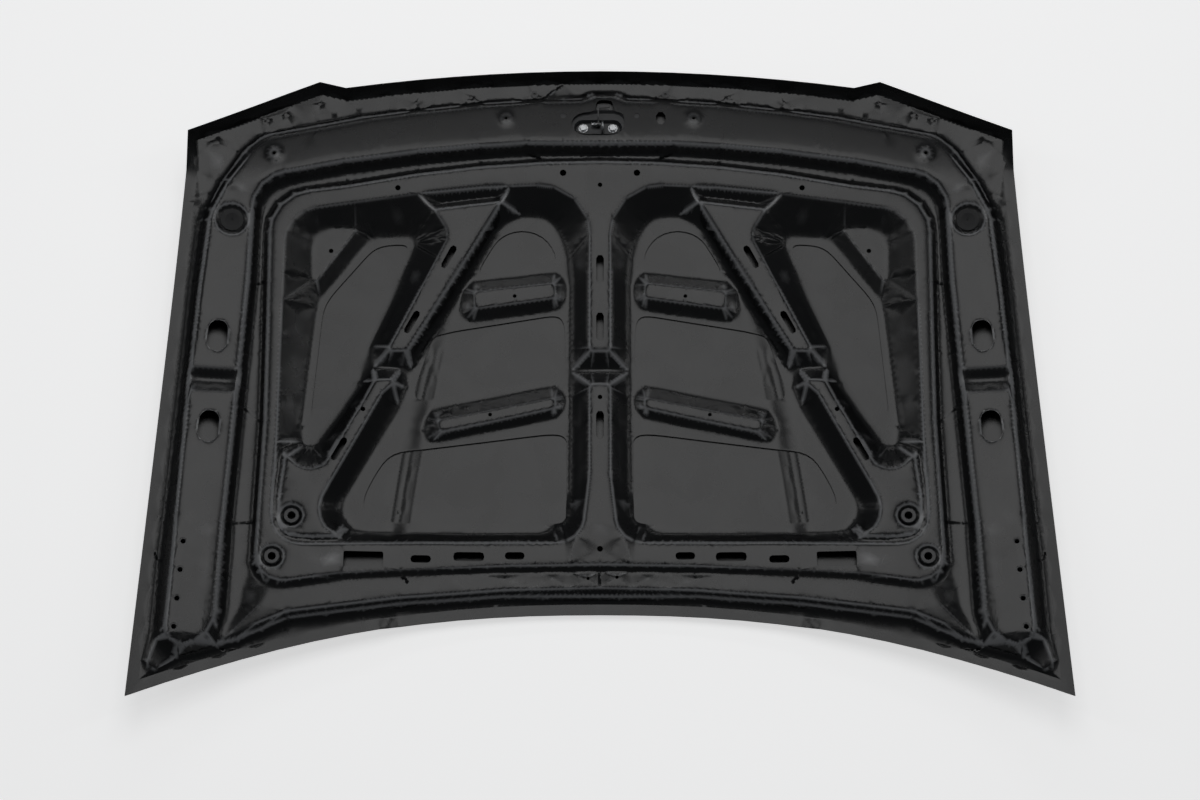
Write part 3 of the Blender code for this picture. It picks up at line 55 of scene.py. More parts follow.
def ease(share):
    """A soft step from 0 to 1."""
    share = min(1.0, max(0.0, share))
    return share * share * (3.0 - 2.0 * share)


def dome_half(y):
    """Half the width of the raised centre, at this distance along the bonnet."""
    return DOME_HALF - DOME_TAPER * y - DOME_CURVE * y * y


def dome_across(x, y, width):
    """1 inside the raised centre and 0 outside it, over a step of this width."""
    return 1.0 - ease((abs(x) - dome_half(y)) / width + 0.5)


def dome_along(y):
    """How much of the raised centre is left, at this distance along the bonnet."""
    return 1.0 - ease((y - DOME_LINE) / DOME_FADE)


def skin_height(x, y):
    """The height of the outer skin's inner face."""
    y += MIDDLE_Y
    roll = max(0.0, (abs(x) - ROLL_START) / ROLL_WIDTH)
    z = BOWL * x * x + ROLL_RISE * roll * roll + BOWL * y * y + NOSE_LIFT * max(0.0, y) ** 3
    return GROUND + z - DOME_SINK * dome_across(x, y, DOME_STEP) * dome_along(y)


# Black electro-coat, the dipped paint on all of the bonnet's pressed steel. It is
# even and dark, with a faint orange peel, soft clouds in its gloss and fine
# specks of dust.
# Painted highlight: the real paint isn't grey anywhere; this grey stands in for the shine along the
# crests
CREST_HIGHLIGHT_GREY = (0.26, 0.263, 0.27, 1)
DUST_GREY = (0.09, 0.09, 0.09, 1)
DUST_SCALE, DUST_FROM, DUST_FULL, DUST_MOST = 900.0, 0.70, 0.80, 0.25
CLOUD_SCALE, CLOUD_ROUGHNESS = 7.0, 0.6
SMEAR_SCALE, SMEAR_DISTORTION = 14.0, 0.6
PEEL_SCALE, PEEL_STRENGTH, PEEL_DEPTH = 420.0, 0.06, 0.0002


def new_group(name, inputs, outputs):
    """A shader node group with its named sockets and nothing in it yet."""
    group = bpy.data.node_groups.new(name, "ShaderNodeTree")
    for label, kind, value in inputs:
        socket = group.interface.new_socket(label, in_out="INPUT", socket_type=kind)
        socket.default_value = value
    for label, kind in outputs:
        group.interface.new_socket(label, in_out="OUTPUT", socket_type=kind)
    return group, group.nodes.new("NodeGroupInput"), group.nodes.new("NodeGroupOutput")


def grain(nodes, links, place, scale, detail):
    """A noise over the piece's own coordinates."""
    noise = nodes.new("ShaderNodeTexNoise")
    noise.inputs["Scale"].default_value = scale
    noise.inputs["Detail"].default_value = detail
    links.new(place.outputs["Object"], noise.inputs["Vector"])
    return noise


def tone_mix(nodes):
    mix = nodes.new("ShaderNodeMix")
    mix.data_type = "RGBA"
    return mix


# The paint as one group: tone, dust, a painted highlight along the crests, gloss and peel.
def dipped_paint_group():
    group, given, result = new_group(
        "dipped_paint",
        [("Dark", "NodeSocketColor", (0.02, 0.02, 0.02, 1)),
         ("Light", "NodeSocketColor", (0.03, 0.03, 0.03, 1)),
         ("Gloss", "NodeSocketFloat", 0.35), ("Gloss Spread", "NodeSocketFloat", 0.08),
         ("Peel", "NodeSocketFloat", 0.3), ("Crest Highlight", "NodeSocketFloat", 0.0)],
        [("Color", "NodeSocketColor"), ("Roughness", "NodeSocketFloat"),
         ("Height", "NodeSocketFloat")],
    )
    nodes, links = group.nodes, group.links
    place = nodes.new("ShaderNodeTexCoord")

    cloud = grain(nodes, links, place, CLOUD_SCALE, 5.0)
    cloud.inputs["Roughness"].default_value = CLOUD_ROUGHNESS
    tone = tone_mix(nodes)
    links.new(cloud.outputs["Fac"], tone.inputs["Factor"])
    links.new(given.outputs["Dark"], tone.inputs["A"])
    links.new(given.outputs["Light"], tone.inputs["B"])

    speck = grain(nodes, links, place, DUST_SCALE, 2.0)
    dust = nodes.new("ShaderNodeMapRange")
    dust.inputs["From Min"].default_value = DUST_FROM
    dust.inputs["From Max"].default_value = DUST_FULL
    dust.inputs["To Max"].default_value = DUST_MOST
    links.new(speck.outputs["Fac"], dust.inputs["Value"])
    dusty = tone_mix(nodes)
    dusty.inputs["B"].default_value = DUST_GREY
    links.new(dust.outputs["Result"], dusty.inputs["Factor"])
    links.new(tone.outputs["Result"], dusty.inputs["A"])

    # Painted highlight: a grey tone where the crest mask is high, standing in for the shine on the
    # folds.
    crest_highlighted = tone_mix(nodes)
    crest_highlighted.inputs["B"].default_value = CREST_HIGHLIGHT_GREY
    links.new(given.outputs["Crest Highlight"], crest_highlighted.inputs["Factor"])
    links.new(dusty.outputs["Result"], crest_highlighted.inputs["A"])
    links.new(crest_highlighted.outputs["Result"], result.inputs["Color"])

    smear = grain(nodes, links, place, SMEAR_SCALE, 6.0)
    smear.inputs["Distortion"].default_value = SMEAR_DISTORTION
    centred = nodes.new("ShaderNodeMath")
    centred.operation = "SUBTRACT"
    centred.inputs[1].default_value = 0.5
    links.new(smear.outputs["Fac"], centred.inputs[0])
    gloss = nodes.new("ShaderNodeMath")
    gloss.operation = "MULTIPLY_ADD"
    links.new(centred.outputs["Value"], gloss.inputs[0])
    links.new(given.outputs["Gloss Spread"], gloss.inputs[1])
    links.new(given.outputs["Gloss"], gloss.inputs[2])
    links.new(gloss.outputs["Value"], result.inputs["Roughness"])

    peel = grain(nodes, links, place, PEEL_SCALE, 2.0)
    lift = nodes.new("ShaderNodeMath")
    lift.operation = "MULTIPLY"
    links.new(peel.outputs["Fac"], lift.inputs[0])
    links.new(given.outputs["Peel"], lift.inputs[1])
    links.new(lift.outputs["Value"], result.inputs["Height"])
    return group


dipped_paint = dipped_paint_group()


def dipped(name, dark, light, gloss=0.27, spread=0.08, peel=1.0):
    """Painted steel: the group's tone, gloss and painted crest highlight on one shader, its peel as
    bump.
    """
    material = bpy.data.materials.new(name)
    material.use_nodes = True
    nodes, links = material.node_tree.nodes, material.node_tree.links
    shader = nodes["Principled BSDF"]
    paint = nodes.new("ShaderNodeGroup")
    paint.node_tree = dipped_paint
    paint.inputs["Dark"].default_value = (*dark, 1)
    paint.inputs["Light"].default_value = (*light, 1)
    paint.inputs["Gloss"].default_value = gloss
    paint.inputs["Gloss Spread"].default_value = spread
    paint.inputs["Peel"].default_value = peel
    # The crest mask of the painted highlight, carried on the sheet's vertices.
    crest_highlight = nodes.new("ShaderNodeAttribute")
    crest_highlight.attribute_name = "crest_highlight"
    links.new(crest_highlight.outputs["Fac"], paint.inputs["Crest Highlight"])
    links.new(paint.outputs["Color"], shader.inputs["Base Color"])
    links.new(paint.outputs["Roughness"], shader.inputs["Roughness"])
    bump = nodes.new("ShaderNodeBump")
    bump.inputs["Strength"].default_value = PEEL_STRENGTH
    bump.inputs["Distance"].default_value = PEEL_DEPTH
    links.new(paint.outputs["Height"], bump.inputs["Height"])
    links.new(bump.outputs["Normal"], shader.inputs["Normal"])
    return material


# Outer skin: one pressed steel sheet that lies face down, its edge folded over
# the inner panel as a flat hem. The facets of the modelled sheet are refined
# here, so that the crown and the raised centre run smooth.
SKIN_DARK, SKIN_LIGHT = (0.0042, 0.0043, 0.0046), (0.006, 0.0061, 0.0065)
SKIN_SHARP = 20
SHEET = 0.0008
HEM_UNDER = 0.0014
LEVEL_SLACK = 0.00039
DOME_BAND, DOME_BAND_FRONT = 0.028, 0.30
DOME_FACET, SKIN_FACET = 0.0075, 0.026


def refine(mesh, target):
    """Splits every edge longer than the target for its place, until none is left."""
    for _ in range(9):
        long = []
        for edge in mesh.edges:
            a, b = (v.co for v in edge.verts)
            run = math.hypot(a.x - b.x, a.y - b.y)
            if run > target((a + b) / 2):
                long.append(edge)
        if not long:
            break
        bmesh.ops.subdivide_edges(mesh, edges=long, cuts=1)
        wide = [face for face in mesh.faces if len(face.verts) > 3]
        bmesh.ops.triangulate(mesh, faces=wide, quad_method="BEAUTY", ngon_method="BEAUTY")


def merged_copy(node):
    """A copy of a modelled sheet, with its loose triangles joined."""
    mesh = bmesh.new()
    mesh.from_mesh(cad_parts[node].data)
    bmesh.ops.remove_doubles(mesh, verts=mesh.verts, dist=1e-5)
    return mesh


def piece(name, mesh, material, sharp, body="bonnet"):
    """A finished object at the origin, shaded smooth up to the sharp angle."""
    data = bpy.data.meshes.new(name)
    mesh.to_mesh(data)
    mesh.free()
    data.shade_smooth()
    data.set_sharp_from_angle(angle=math.radians(sharp))
    obj = bpy.data.objects.new(name, data)
    data.materials.append(material)
    bpy.context.scene.collection.objects.link(obj)
    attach(obj, body)
    return obj


def skin_target(place):
    """Fine facets along the edge of the raised centre, wide ones elsewhere."""
    y = place.y + MIDDLE_Y
    near = abs(abs(place.x) - dome_half(y)) < DOME_BAND and y < DOME_BAND_FRONT
    return DOME_FACET if near else SKIN_FACET


skin = merged_copy("outer_skin")
refine(skin, skin_target)
for vert in skin.verts:
    level = vert.co.z - skin_height(vert.co.x, vert.co.y)
    for flat in (-SHEET, 0.0, HEM_UNDER, HEM_UNDER + SHEET):
        if abs(level - flat) < LEVEL_SLACK:
            vert.co.z += flat - level
            break
skin_black = dipped("skin_black", SKIN_DARK, SKIN_LIGHT)
skin_piece = piece("folded_outer_skin", skin, skin_black, SKIN_SHARP)
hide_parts("outer_skin")


# Inner panel: one deep-drawn steel pressing, held in the hem of the skin. Its
# levels come from the modelled sheet; here its folds get the round edges that a
# press leaves, its holes get true rims and its windows softly rounded corners.
PANEL_DARK, PANEL_LIGHT = (0.0045, 0.0046, 0.0049), (0.0068, 0.0069, 0.0073)
PANEL_SHARP = 70
HAT_RIM_Y, HAT_SWEEP, HAT_FLAT = 0.446, 0.20, 0.13
HAT_FOLD, HAT_FALL = 0.012, 0.05
UPWARD, STEEP = 0.02, 0.5
CUT_LEAST, CUT_MOST = 0.0007, 0.0014
SLIT_EDGE, SLIT_SIDES = 0.05, 5
FOLD_ANGLE, FOLD_STEP = math.radians(9), 0.004
FOLD_FACET, FOLD_BAND = 0.0060, 0.0045
FACET_GROWTH, FLAT_FACET = 1.2, 0.032


def hat_rim(x):
    """How far along the bonnet the rim of the front hat section lies."""
    return HAT_RIM_Y - HAT_SWEEP * max(0.0, x * x - HAT_FLAT ** 2)


def panel_base(x, y):
    """The smooth surface that the panel's levels are measured from."""
    skin_z = skin_height(x, y)
    rim = hat_rim(x)
    over = (y + MIDDLE_Y - rim) / HAT_FOLD + 1.0
    if over <= 0.0:
        return skin_z
    flat_x = math.sqrt(max(0.0, x * x - HAT_FLAT ** 2))
    hat = skin_height(flat_x, min(rim, y + MIDDLE_Y) - MIDDLE_Y)
    hat -= HAT_FALL * max(0.0, y + MIDDLE_Y - rim)
    return skin_z + (hat - skin_z) * ease(over)


def on_top(face):
    """True for the upper side of the sheet, and not for its cut edges."""
    if face.normal.z < UPWARD:
        return False
    for edge in face.edges:
        run = edge.verts[0].co - edge.verts[1].co
        through = CUT_LEAST < run.length < CUT_MOST and abs(run.z) > 0.5 * run.length
        if through and face.normal.z < STEEP:
            return False
    return True


def fold_points(mesh):
    """Points close together along every fold line of the sheet."""
    found = []
    for edge in mesh.edges:
        if len(edge.link_faces) == 2 and edge.calc_face_angle() > FOLD_ANGLE:
            a, b = (v.co for v in edge.verts)
            steps = max(1, math.ceil((a - b).length / FOLD_STEP))
            found += [a.lerp(b, i / steps) for i in range(steps + 1)]
    return found


def plan_tree(places):
    """A search tree of places as seen from above."""
    tree = KDTree(len(places))
    for index, place in enumerate(places):
        tree.insert((place[0], place[1], 0.0), index)
    tree.balance()
    return tree


sheet = merged_copy("inner_panel")
bmesh.ops.delete(sheet, geom=[f for f in sheet.faces if not on_top(f)], context="FACES")
slits = [edge for edge in sheet.edges if edge.is_boundary and edge.calc_length() < SLIT_EDGE]
bmesh.ops.holes_fill(sheet, edges=slits, sides=SLIT_SIDES)
bmesh.ops.triangulate(sheet, faces=[f for f in sheet.faces if len(f.verts) > 3])
for vert in sheet.verts:
    vert.co.z -= panel_base(vert.co.x, vert.co.y)
sheet.normal_update()
drawn = BVHTree.FromBMesh(sheet)
fold_tree = plan_tree(fold_points(sheet))
for vert in sheet.verts:
    vert.co.z = 0.0


def fold_distance(place):
    return fold_tree.find((place.x, place.y, 0.0))[2]


def panel_target(place):
    """Fine facets along the folds, that grow with the distance from them."""
    grown = FACET_GROWTH * max(0.0, fold_distance(place) - FOLD_BAND)
    return min(FLAT_FACET, FOLD_FACET + grown)


refine(sheet, panel_target)

# Round holes as x, distance along and radius, on both sides of the middle
ROUND_HOLES = [
    (0.691, -0.283, 0.0065), (0.693, -0.332, 0.0065), (0.695, -0.381, 0.0065),
    (0.697, -0.429, 0.0065), (0.3546, 0.3635, 0.0050), (0.065, 0.394, 0.0060),
    (0.065, 0.4975, 0.0050), (0.4049, -0.039, 0.0042), (0.149, 0.175, 0.0035),
    (0.189, -0.040, 0.0035), (0.470, 0.252, 0.0042), (0.5707, 0.4189, 0.0030),
    (0.1658, 0.4915, 0.0025), (0.6775, 0.4445, 0.0032), (0.587, 0.488, 0.0032),
    (0.5558, 0.500, 0.0032), (0.4963, 0.5205, 0.0032), (0.3269, 0.526, 0.0032),
    (0.2294, 0.5375, 0.0032), (0.5185, -0.2297, 0.0104), (0.5475, -0.3019, 0.0104),
    (0.640, 0.2957, 0.0175), (0.1164, 0.5433, 0.0047),
]
# Slots as x, distance along, length, width, tilt in degrees and corner radius
SLOTS = [
    (0.6547, 0.0835, 0.056, 0.033, 94.0, 0.0165), (0.6615, -0.079, 0.056, 0.033, 94.0, 0.0165),
    (0.2636, 0.2397, 0.046, 0.0115, -62.8, 0.00575), (0.3254, 0.120, 0.046, 0.0115, -62.8, 0.00575),
    (0.4431, -0.111, 0.046, 0.0115, -62.8, 0.00575), (0.396, -0.3025, 0.066, 0.026, 0.0, 0.003),
    (0.3005, -0.301, 0.034, 0.013, 0.0, 0.0055), (0.2203, -0.296, 0.052, 0.016, 0.0, 0.006),
    (0.1433, -0.294, 0.033, 0.013, 0.0, 0.0055),
]
CENTRE_HOLES = [(0.0, -0.0118, 0.0042), (0.0, -0.2815, 0.0052), (0.0, 0.3725, 0.0042),
                (0.0285, -0.330, 0.003), (-0.020, -0.332, 0.003)]
CENTRE_SLOTS = [(0.0, y, 0.052, 0.0135, 90.0, 0.00675) for y in (0.2196, 0.1154, -0.0623)]
RIM_SEARCH, RIM_MARGIN, RIM_CATCH = 0.040, 0.008, 0.0035
RIM_CLEAR, RIM_PUSH = 0.0009, 0.0012
RIM_PASSES, STRAIGHT_PASSES = 5, 2
WINDOW_REAR, WINDOW_FRONT, WINDOW_IN, WINDOW_OUT = -0.27, 0.30, 0.02, 0.56
WINDOW_FOLD = 0.007
SIDE_X = 0.705
REAR_Y, REAR_SWEEP, REAR_HALF, REAR_CURVE, REAR_BAND = -0.391, 0.152, 0.771, 2.3, 0.02
FRONT_Y, FRONT_SWEEP, FRONT_JOG_X, FRONT_JOG = 0.545, 0.174, 0.42, 0.03


def all_openings():
    """Every opening as centre, half length, half width, tilt and corner radius."""
    found = []
    for side in (1, -1):
        found += [(side * x, y, r, r, 0.0, r) for x, y, r in ROUND_HOLES]
        found += [(side * x, y, a / 2, b / 2, math.radians(side * tilt), r)
                  for x, y, a, b, tilt, r in SLOTS]
    found += [(x, y, r, r, 0.0, r) for x, y, r in CENTRE_HOLES]
    found += [(x, y, a / 2, b / 2, math.radians(tilt), r) for x, y, a, b, tilt, r in CENTRE_SLOTS]
    return [(x, y - MIDDLE_Y, a, b, tilt, r) for x, y, a, b, tilt, r in found]


def rim_place(place, opening):
    """Signed distance from an opening's rim, and the nearest point on that rim."""
    x, y, a, b, tilt, r = opening
    turn = Matrix.Rotation(-tilt, 2)
    local = turn @ Vector((place.x - x, place.y - y))
    sign = Vector((math.copysign(1.0, local.x), math.copysign(1.0, local.y)))
    q = Vector((abs(local.x) - (a - r), abs(local.y) - (b - r)))
    if q.x > 0.0 and q.y > 0.0:
        away = q.length - r
        near = q.normalized() * r
    elif q.x - r > q.y - r:
        away, near = q.x - r, Vector((r, q.y))
    else:
        away, near = q.y - r, Vector((q.x, r))
    near = Vector(((near.x + a - r) * sign.x, (near.y + b - r) * sign.y))
    near = turn.inverted() @ near
    return away, x + near.x, y + near.y


def in_window(place):
    """True between the ribs, where the cut edges are those of the windows."""
    y = place.y + MIDDLE_Y
    inside = WINDOW_REAR < y < WINDOW_FRONT and WINDOW_IN < abs(place.x) < WINDOW_OUT
    return inside and fold_distance(place) > WINDOW_FOLD


def on_outer_edge(vert):
    """True close to the panel's own outline, on any side."""
    x, y = vert.co.x, vert.co.y + MIDDLE_Y
    rear = REAR_Y - REAR_SWEEP * (abs(x) / REAR_HALF) ** REAR_CURVE
    front = FRONT_Y - FRONT_SWEEP * x * x - FRONT_JOG * (abs(x) > FRONT_JOG_X)
    return abs(x) > SIDE_X or y < rear + REAR_BAND or y > front


def soften_rims(mesh):
    """Cut edges: holes and slots get their true rims and windows lose their corners."""
    openings = all_openings()
    centres = plan_tree(openings)
    pairs = {}
    for vert in mesh.verts:
        fitted = False
        for _, index, far in centres.find_range((vert.co.x, vert.co.y, 0.0), RIM_SEARCH):
            if far > max(openings[index][2], openings[index][3]) + RIM_MARGIN:
                continue
            away, x, y = rim_place(vert.co, openings[index])
            if vert.is_boundary and abs(away) < RIM_CATCH:
                vert.co.x, vert.co.y = x, y
                fitted = True
            elif not vert.is_boundary and away < RIM_CLEAR:
                push = Vector((x - openings[index][0], y - openings[index][1])).normalized()
                vert.co.x, vert.co.y = x + push.x * RIM_PUSH, y + push.y * RIM_PUSH
        if vert.is_boundary and not fitted and not on_outer_edge(vert):
            pairs[vert] = [e.other_vert(vert) for e in vert.link_edges if e.is_boundary]
    for turn in range(RIM_PASSES):
        moved = {
            vert: sum((n.co for n in near), Vector()) / len(near)
            for vert, near in pairs.items()
            if len(near) == 2 and (turn < STRAIGHT_PASSES or in_window(vert.co))
        }
        for vert, goal in moved.items():
            vert.co = vert.co.lerp(goal, 0.5)


soften_rims(sheet)

RINGS = [
    (r * math.cos(a), r * math.sin(a))
    for r, count in ((0.5, 6), (1.0, 10))
    for a in (2 * math.pi * i / count for i in range(count))
]
ABOVE = 0.3
TRIMMED, ENOUGH = 2, 8
WALL_PROBE, WALL_PROBES = 0.008, 8
BEAD_REACH, WALL_EXTRA, WALL_SHARE = 0.0042, 0.0032, 0.3
WIDEST_REACH, FLAT_SHARE, LEAST_REACH = 0.020, 0.8, 0.0003
HEM_REACH, HEM_BAND = 0.0205, 0.006
SHEER_DROP, EVENING_PASSES = 0.012, 3
BRIDGE_WIDTH, BRIDGE_LEVEL, BRIDGE_BAND = 0.26, 0.006, 0.005
# Crests that stand this far above their surroundings start to get the painted highlight.
CREST_HIGHLIGHT_FROM, CREST_HIGHLIGHT_SPAN = 0.0001, 0.0007


def level_at(x, y):
    """The level of the modelled sheet above its base, or None off the sheet."""
    hit = drawn.ray_cast((x, y, ABOVE), (0, 0, -1))[0]
    return hit.z if hit else None


def drawn_level(x, y, reach):
    """The level of the modelled sheet here, and its mean on a disc of this reach."""
    centre = level_at(x, y)
    around = [level_at(x + dx * reach, y + dy * reach) for dx, dy in RINGS]
    around = [level for level in around if level is not None]
    if centre is None:
        centre = sum(around) / len(around) if around else None
    around = sorted(around)[TRIMMED:-TRIMMED] if len(around) > ENOUGH else around
    mean = sum(around) / len(around) if around else centre
    return centre, mean


def fold_reach(x, y):
    """Deep walls are drawn over larger radii than shallow beads."""
    turns = (2 * math.pi * i / WALL_PROBES for i in range(WALL_PROBES))
    ring = [level_at(x + WALL_PROBE * math.cos(a), y + WALL_PROBE * math.sin(a)) for a in turns]
    ring = [level for level in ring if level is not None]
    drop = max(ring) - min(ring) if ring else 0.0
    return BEAD_REACH + min(WALL_EXTRA, WALL_SHARE * drop)


def wide_crown(x, y, level):
    """Raised parts bridge the edge of the sunk centre in one long easy curve."""
    y += MIDDLE_Y
    bridge = dome_across(x, y, DOME_STEP) - dome_across(x, y, BRIDGE_WIDTH)
    return DOME_SINK * dome_along(y) * bridge * ease((level - BRIDGE_LEVEL) / BRIDGE_BAND)


def pressed_levels(mesh):
    """Rounded levels, how far each fold stood out before, and the points in the hem."""
    outline = plan_tree([v.co for v in mesh.verts if v.is_boundary and on_outer_edge(v)])
    levels, crests, held = {}, {}, set()
    for vert in mesh.verts:
        x, y = vert.co.x, vert.co.y
        from_edge = outline.find((x, y, 0.0))[2]
        reach = min(WIDEST_REACH, max(fold_reach(x, y), FLAT_SHARE * fold_distance(vert.co)))
        if from_edge < HEM_REACH + HEM_BAND:
            reach = min(reach, max(0.0, from_edge - HEM_REACH))
            held.add(vert)
        centre, mean = drawn_level(x, y, reach) if reach > LEAST_REACH else (level_at(x, y),) * 2
        levels[vert] = mean
        crests[vert] = (centre or 0.0) - (mean or 0.0)
    return levels, crests, held


def fill_gaps(levels):
    """Points just off the modelled sheet take the lowest level beside them."""
    for vert, level in levels.items():
        if level is None:
            near = [levels[e.other_vert(vert)] for e in vert.link_edges]
            near = [z for z in near if z is not None]
            levels[vert] = min(near) if near else SHEET


def even_out(levels, held):
    """Levels move halfway to their neighbours' mean, but not in the hem or on sheer walls."""
    evened = {}
    for vert, level in levels.items():
        if vert in held:
            continue
        near = [levels[e.other_vert(vert)] for e in vert.link_edges]
        if max(near) - min(near) < SHEER_DROP:
            evened[vert] = 0.5 * level + 0.5 * sum(near) / len(near)
    levels.update(evened)


def face_up(mesh):
    """Turns the whole sheet over if it faces down."""
    if sum(face.normal.z for face in mesh.faces) < 0:
        bmesh.ops.reverse_faces(mesh, faces=mesh.faces)


def lip_rims(mesh):
    """Cut edges get a lip as deep as the sheet, split off so that both shade cleanly."""
    rims = [edge for edge in mesh.edges if edge.is_boundary]
    grown = bmesh.ops.extrude_edge_only(mesh, edges=rims)
    for vert in (item for item in grown["geom"] if isinstance(item, bmesh.types.BMVert)):
        vert.co.z -= SHEET
    bmesh.ops.recalc_face_normals(mesh, faces=mesh.faces)
    face_up(mesh)
    bmesh.ops.split_edges(mesh, edges=rims)


# Each vertex carries the strength of the painted crest highlight, from how far its fold stood out.
crest_highlight_layer = sheet.verts.layers.float.new("crest_highlight")
levels, crests, held = pressed_levels(sheet)
fill_gaps(levels)
for _ in range(EVENING_PASSES):
    even_out(levels, held)
for vert, level in levels.items():
    x, y = vert.co.x, vert.co.y
    vert.co.z = level + panel_base(x, y) + wide_crown(x, y, level)
    vert[crest_highlight_layer] = ease((crests[vert] - CREST_HIGHLIGHT_FROM) / CREST_HIGHLIGHT_SPAN)
sheet.normal_update()
face_up(sheet)
lip_rims(sheet)
panel_black = dipped("panel_black", PANEL_DARK, PANEL_LIGHT)
panel_piece = piece("pressed_inner_panel", sheet, panel_black, PANEL_SHARP)
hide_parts("inner_panel")


# Brackets, nuts and catch, all left as modelled: the plates are stamped and the
# nuts turned steel, fixed to the inner panel before it is dipped with them. The
# safety catch is stamped too, and hangs on its pin.
BRACKET_NAMES = ("latch_plate", "striker_base", "safety_catch", "hinge_plate", "hinge_nut",
                 "collar_nut", "rivet_nut")


def finish_nodes(starts, material):
    """Gives every modelled node whose name starts so its one material."""
    for name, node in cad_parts.items():
        if name.startswith(starts):
            node.data.materials.clear()
            node.data.materials.append(material)


bracket_black = dipped("bracket_black", (0.035, 0.036, 0.038), (0.05, 0.051, 0.054), 0.35, 0.12, 0.6)
finish_nodes(BRACKET_NAMES, bracket_black)


# Striker and fixings: the bent wire loop, its two bolts, and the catch's pin and
# spring are bare zinc-plated steel, screwed on or clipped in after the paint.
ZINC_NAMES = ("striker_bolt", "striker_loop", "catch_pin", "catch_spring")
LEAST_ROUGH, ROUGH_SPREAD = 0.05, 0.08


def plain_material(name, color, rough, metallic, mottled, scale):
    """One even finish, a little mottled in tone and gloss."""
    material = bpy.data.materials.new(name)
    material.use_nodes = True
    nodes, links = material.node_tree.nodes, material.node_tree.links
    shader = nodes["Principled BSDF"]
    shader.inputs["Metallic"].default_value = metallic
    noise = grain(nodes, links, nodes.new("ShaderNodeTexCoord"), scale, 4.0)
    tone = tone_mix(nodes)
    tone.inputs["A"].default_value = (*[c * (1.0 - mottled) for c in color], 1)
    tone.inputs["B"].default_value = (*[c * (1.0 + mottled) for c in color], 1)
    links.new(noise.outputs["Fac"], tone.inputs["Factor"])
    links.new(tone.outputs["Result"], shader.inputs["Base Color"])
    gloss = nodes.new("ShaderNodeMapRange")
    gloss.inputs["To Min"].default_value = max(LEAST_ROUGH, rough - ROUGH_SPREAD)
    gloss.inputs["To Max"].default_value = rough + ROUGH_SPREAD
    links.new(noise.outputs["Fac"], gloss.inputs["Value"])
    links.new(gloss.outputs["Result"], shader.inputs["Roughness"])
    return material


finish_nodes(ZINC_NAMES, plain_material("bright_zinc", (0.66, 0.67, 0.68), 0.28, 1.0, 0.12, 180.0))


# Plugs: two moulded rubber discs. Each is pushed into the round hole in a front
# corner of the inner panel, and holds there by its own lip.
finish_nodes("plug", plain_material("plug_rubber", (0.018, 0.018, 0.019), 0.62, 0.0, 0.15, 90.0))


# Mastic: soft pads of grey sealer, laid between the two sheets before they are
# joined, so that the skin doesn't drum.
finish_nodes("mastic", plain_material("mastic_bead", (0.085, 0.085, 0.09), 0.75, 0.0, 0.2, 120.0))


# Paper floor: a pale sheet below the bonnet that takes its soft shadow. It glows
# a little for the camera alone, so that it fades into the white behind it.
FLOOR_HALF = 12.0
FLOOR_GLOW = 0.62
PAPER_WHITE = (0.84, 0.84, 0.84, 1)


def paper_material():
    material = bpy.data.materials.new("paper_floor")
    material.use_nodes = True
    nodes, links = material.node_tree.nodes, material.node_tree.links
    shader = nodes["Principled BSDF"]
    shader.inputs["Base Color"].default_value = PAPER_WHITE
    shader.inputs["Roughness"].default_value = 0.9
    shader.inputs["Specular IOR Level"].default_value = 0.1
    seen = nodes.new("ShaderNodeLightPath")
    glow = nodes.new("ShaderNodeMath")
    glow.operation = "MULTIPLY"
    glow.inputs[1].default_value = FLOOR_GLOW
    links.new(seen.outputs["Is Camera Ray"], glow.inputs[0])
    shader.inputs["Emission Color"].default_value = (1, 1, 1, 1)
    links.new(glow.outputs["Value"], shader.inputs["Emission Strength"])
    return material


floor_mesh = bmesh.new()
bmesh.ops.create_grid(floor_mesh, x_segments=1, y_segments=1, size=FLOOR_HALF)
floor_data = bpy.data.meshes.new("floor")
floor_mesh.to_mesh(floor_data)
floor_mesh.free()
floor = bpy.data.objects.new("floor", floor_data)
floor_data.materials.append(paper_material())
bpy.context.scene.collection.objects.link(floor)


# Soft boxes: a large one over the nose for the flats, and three narrow strips
# that draw thin bright lines along the folds.
LIT_PLACE = Vector((0.0, 0.0, 0.0))


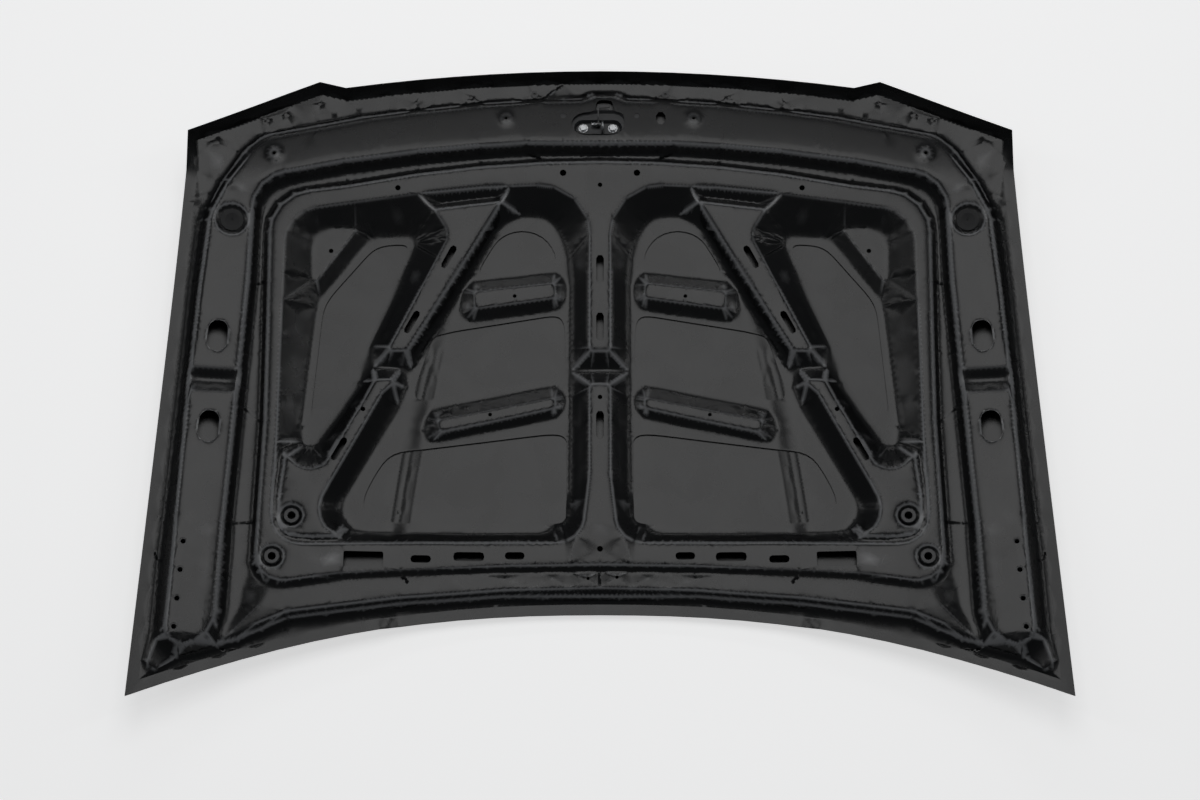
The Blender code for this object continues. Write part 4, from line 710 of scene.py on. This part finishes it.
def soft_box(name, place, width, depth, power):
    data = bpy.data.lights.new(name, "AREA")
    data.shape = "RECTANGLE"
    data.size, data.size_y = width, depth
    data.energy = power
    lamp = bpy.data.objects.new(name, data)
    lamp.location = place
    lamp.rotation_euler = (LIT_PLACE - Vector(place)).to_track_quat("-Z", "Y").to_euler()
    bpy.context.scene.collection.objects.link(lamp)


soft_box("over_head", (0.0, 1.12, 3.4), 1.8, 2.0, 20)
soft_box("front_strip", (0.0, 4.2, 2.4), 3.6, 0.25, 9)
soft_box("left_strip", (-3.0, 0.9, 3.1), 0.22, 2.6, 7)
soft_box("right_strip", (3.0, 0.9, 3.1), 0.22, 2.6, 7)


# Room: a dim cool fill that the paint reflects, and plain white for the camera.
FILL_COLOR, FILL_STRENGTH = (0.9, 0.95, 1.0, 1), 0.07
world = bpy.data.worlds.new("studio")
bpy.context.scene.world = world
world.use_nodes = True
room_nodes, room_links = world.node_tree.nodes, world.node_tree.links
room_nodes.clear()
path = room_nodes.new("ShaderNodeLightPath")
fill = room_nodes.new("ShaderNodeBackground")
fill.inputs["Color"].default_value = FILL_COLOR
fill.inputs["Strength"].default_value = FILL_STRENGTH
white = room_nodes.new("ShaderNodeBackground")
white.inputs["Color"].default_value = PAPER_WHITE
mix = room_nodes.new("ShaderNodeMixShader")
room_links.new(path.outputs["Is Camera Ray"], mix.inputs["Fac"])
room_links.new(fill.outputs["Background"], mix.inputs[1])
room_links.new(white.outputs["Background"], mix.inputs[2])
out = room_nodes.new("ShaderNodeOutputWorld")
room_links.new(mix.outputs["Shader"], out.inputs["Surface"])


# Camera: a long lens that looks down on the bonnet from its rear edge.
LENS, SENSOR = 70.0, 36.0
AIM = Vector((0.0, -0.0365, 0.037))
DISTANCE, ELEVATION = 4.0, math.radians(72.0)
camera_data = bpy.data.cameras.new("camera")
camera_data.lens = LENS
camera_data.sensor_width = SENSOR
camera = bpy.data.objects.new("camera", camera_data)
bpy.context.scene.collection.objects.link(camera)
bpy.context.scene.camera = camera
camera.location = AIM + DISTANCE * Vector((0.0, -math.cos(ELEVATION), math.sin(ELEVATION)))
camera.rotation_euler = (math.pi / 2 - ELEVATION, 0.0, 0.0)
bpy.context.scene.view_settings.view_transform = "Standard"
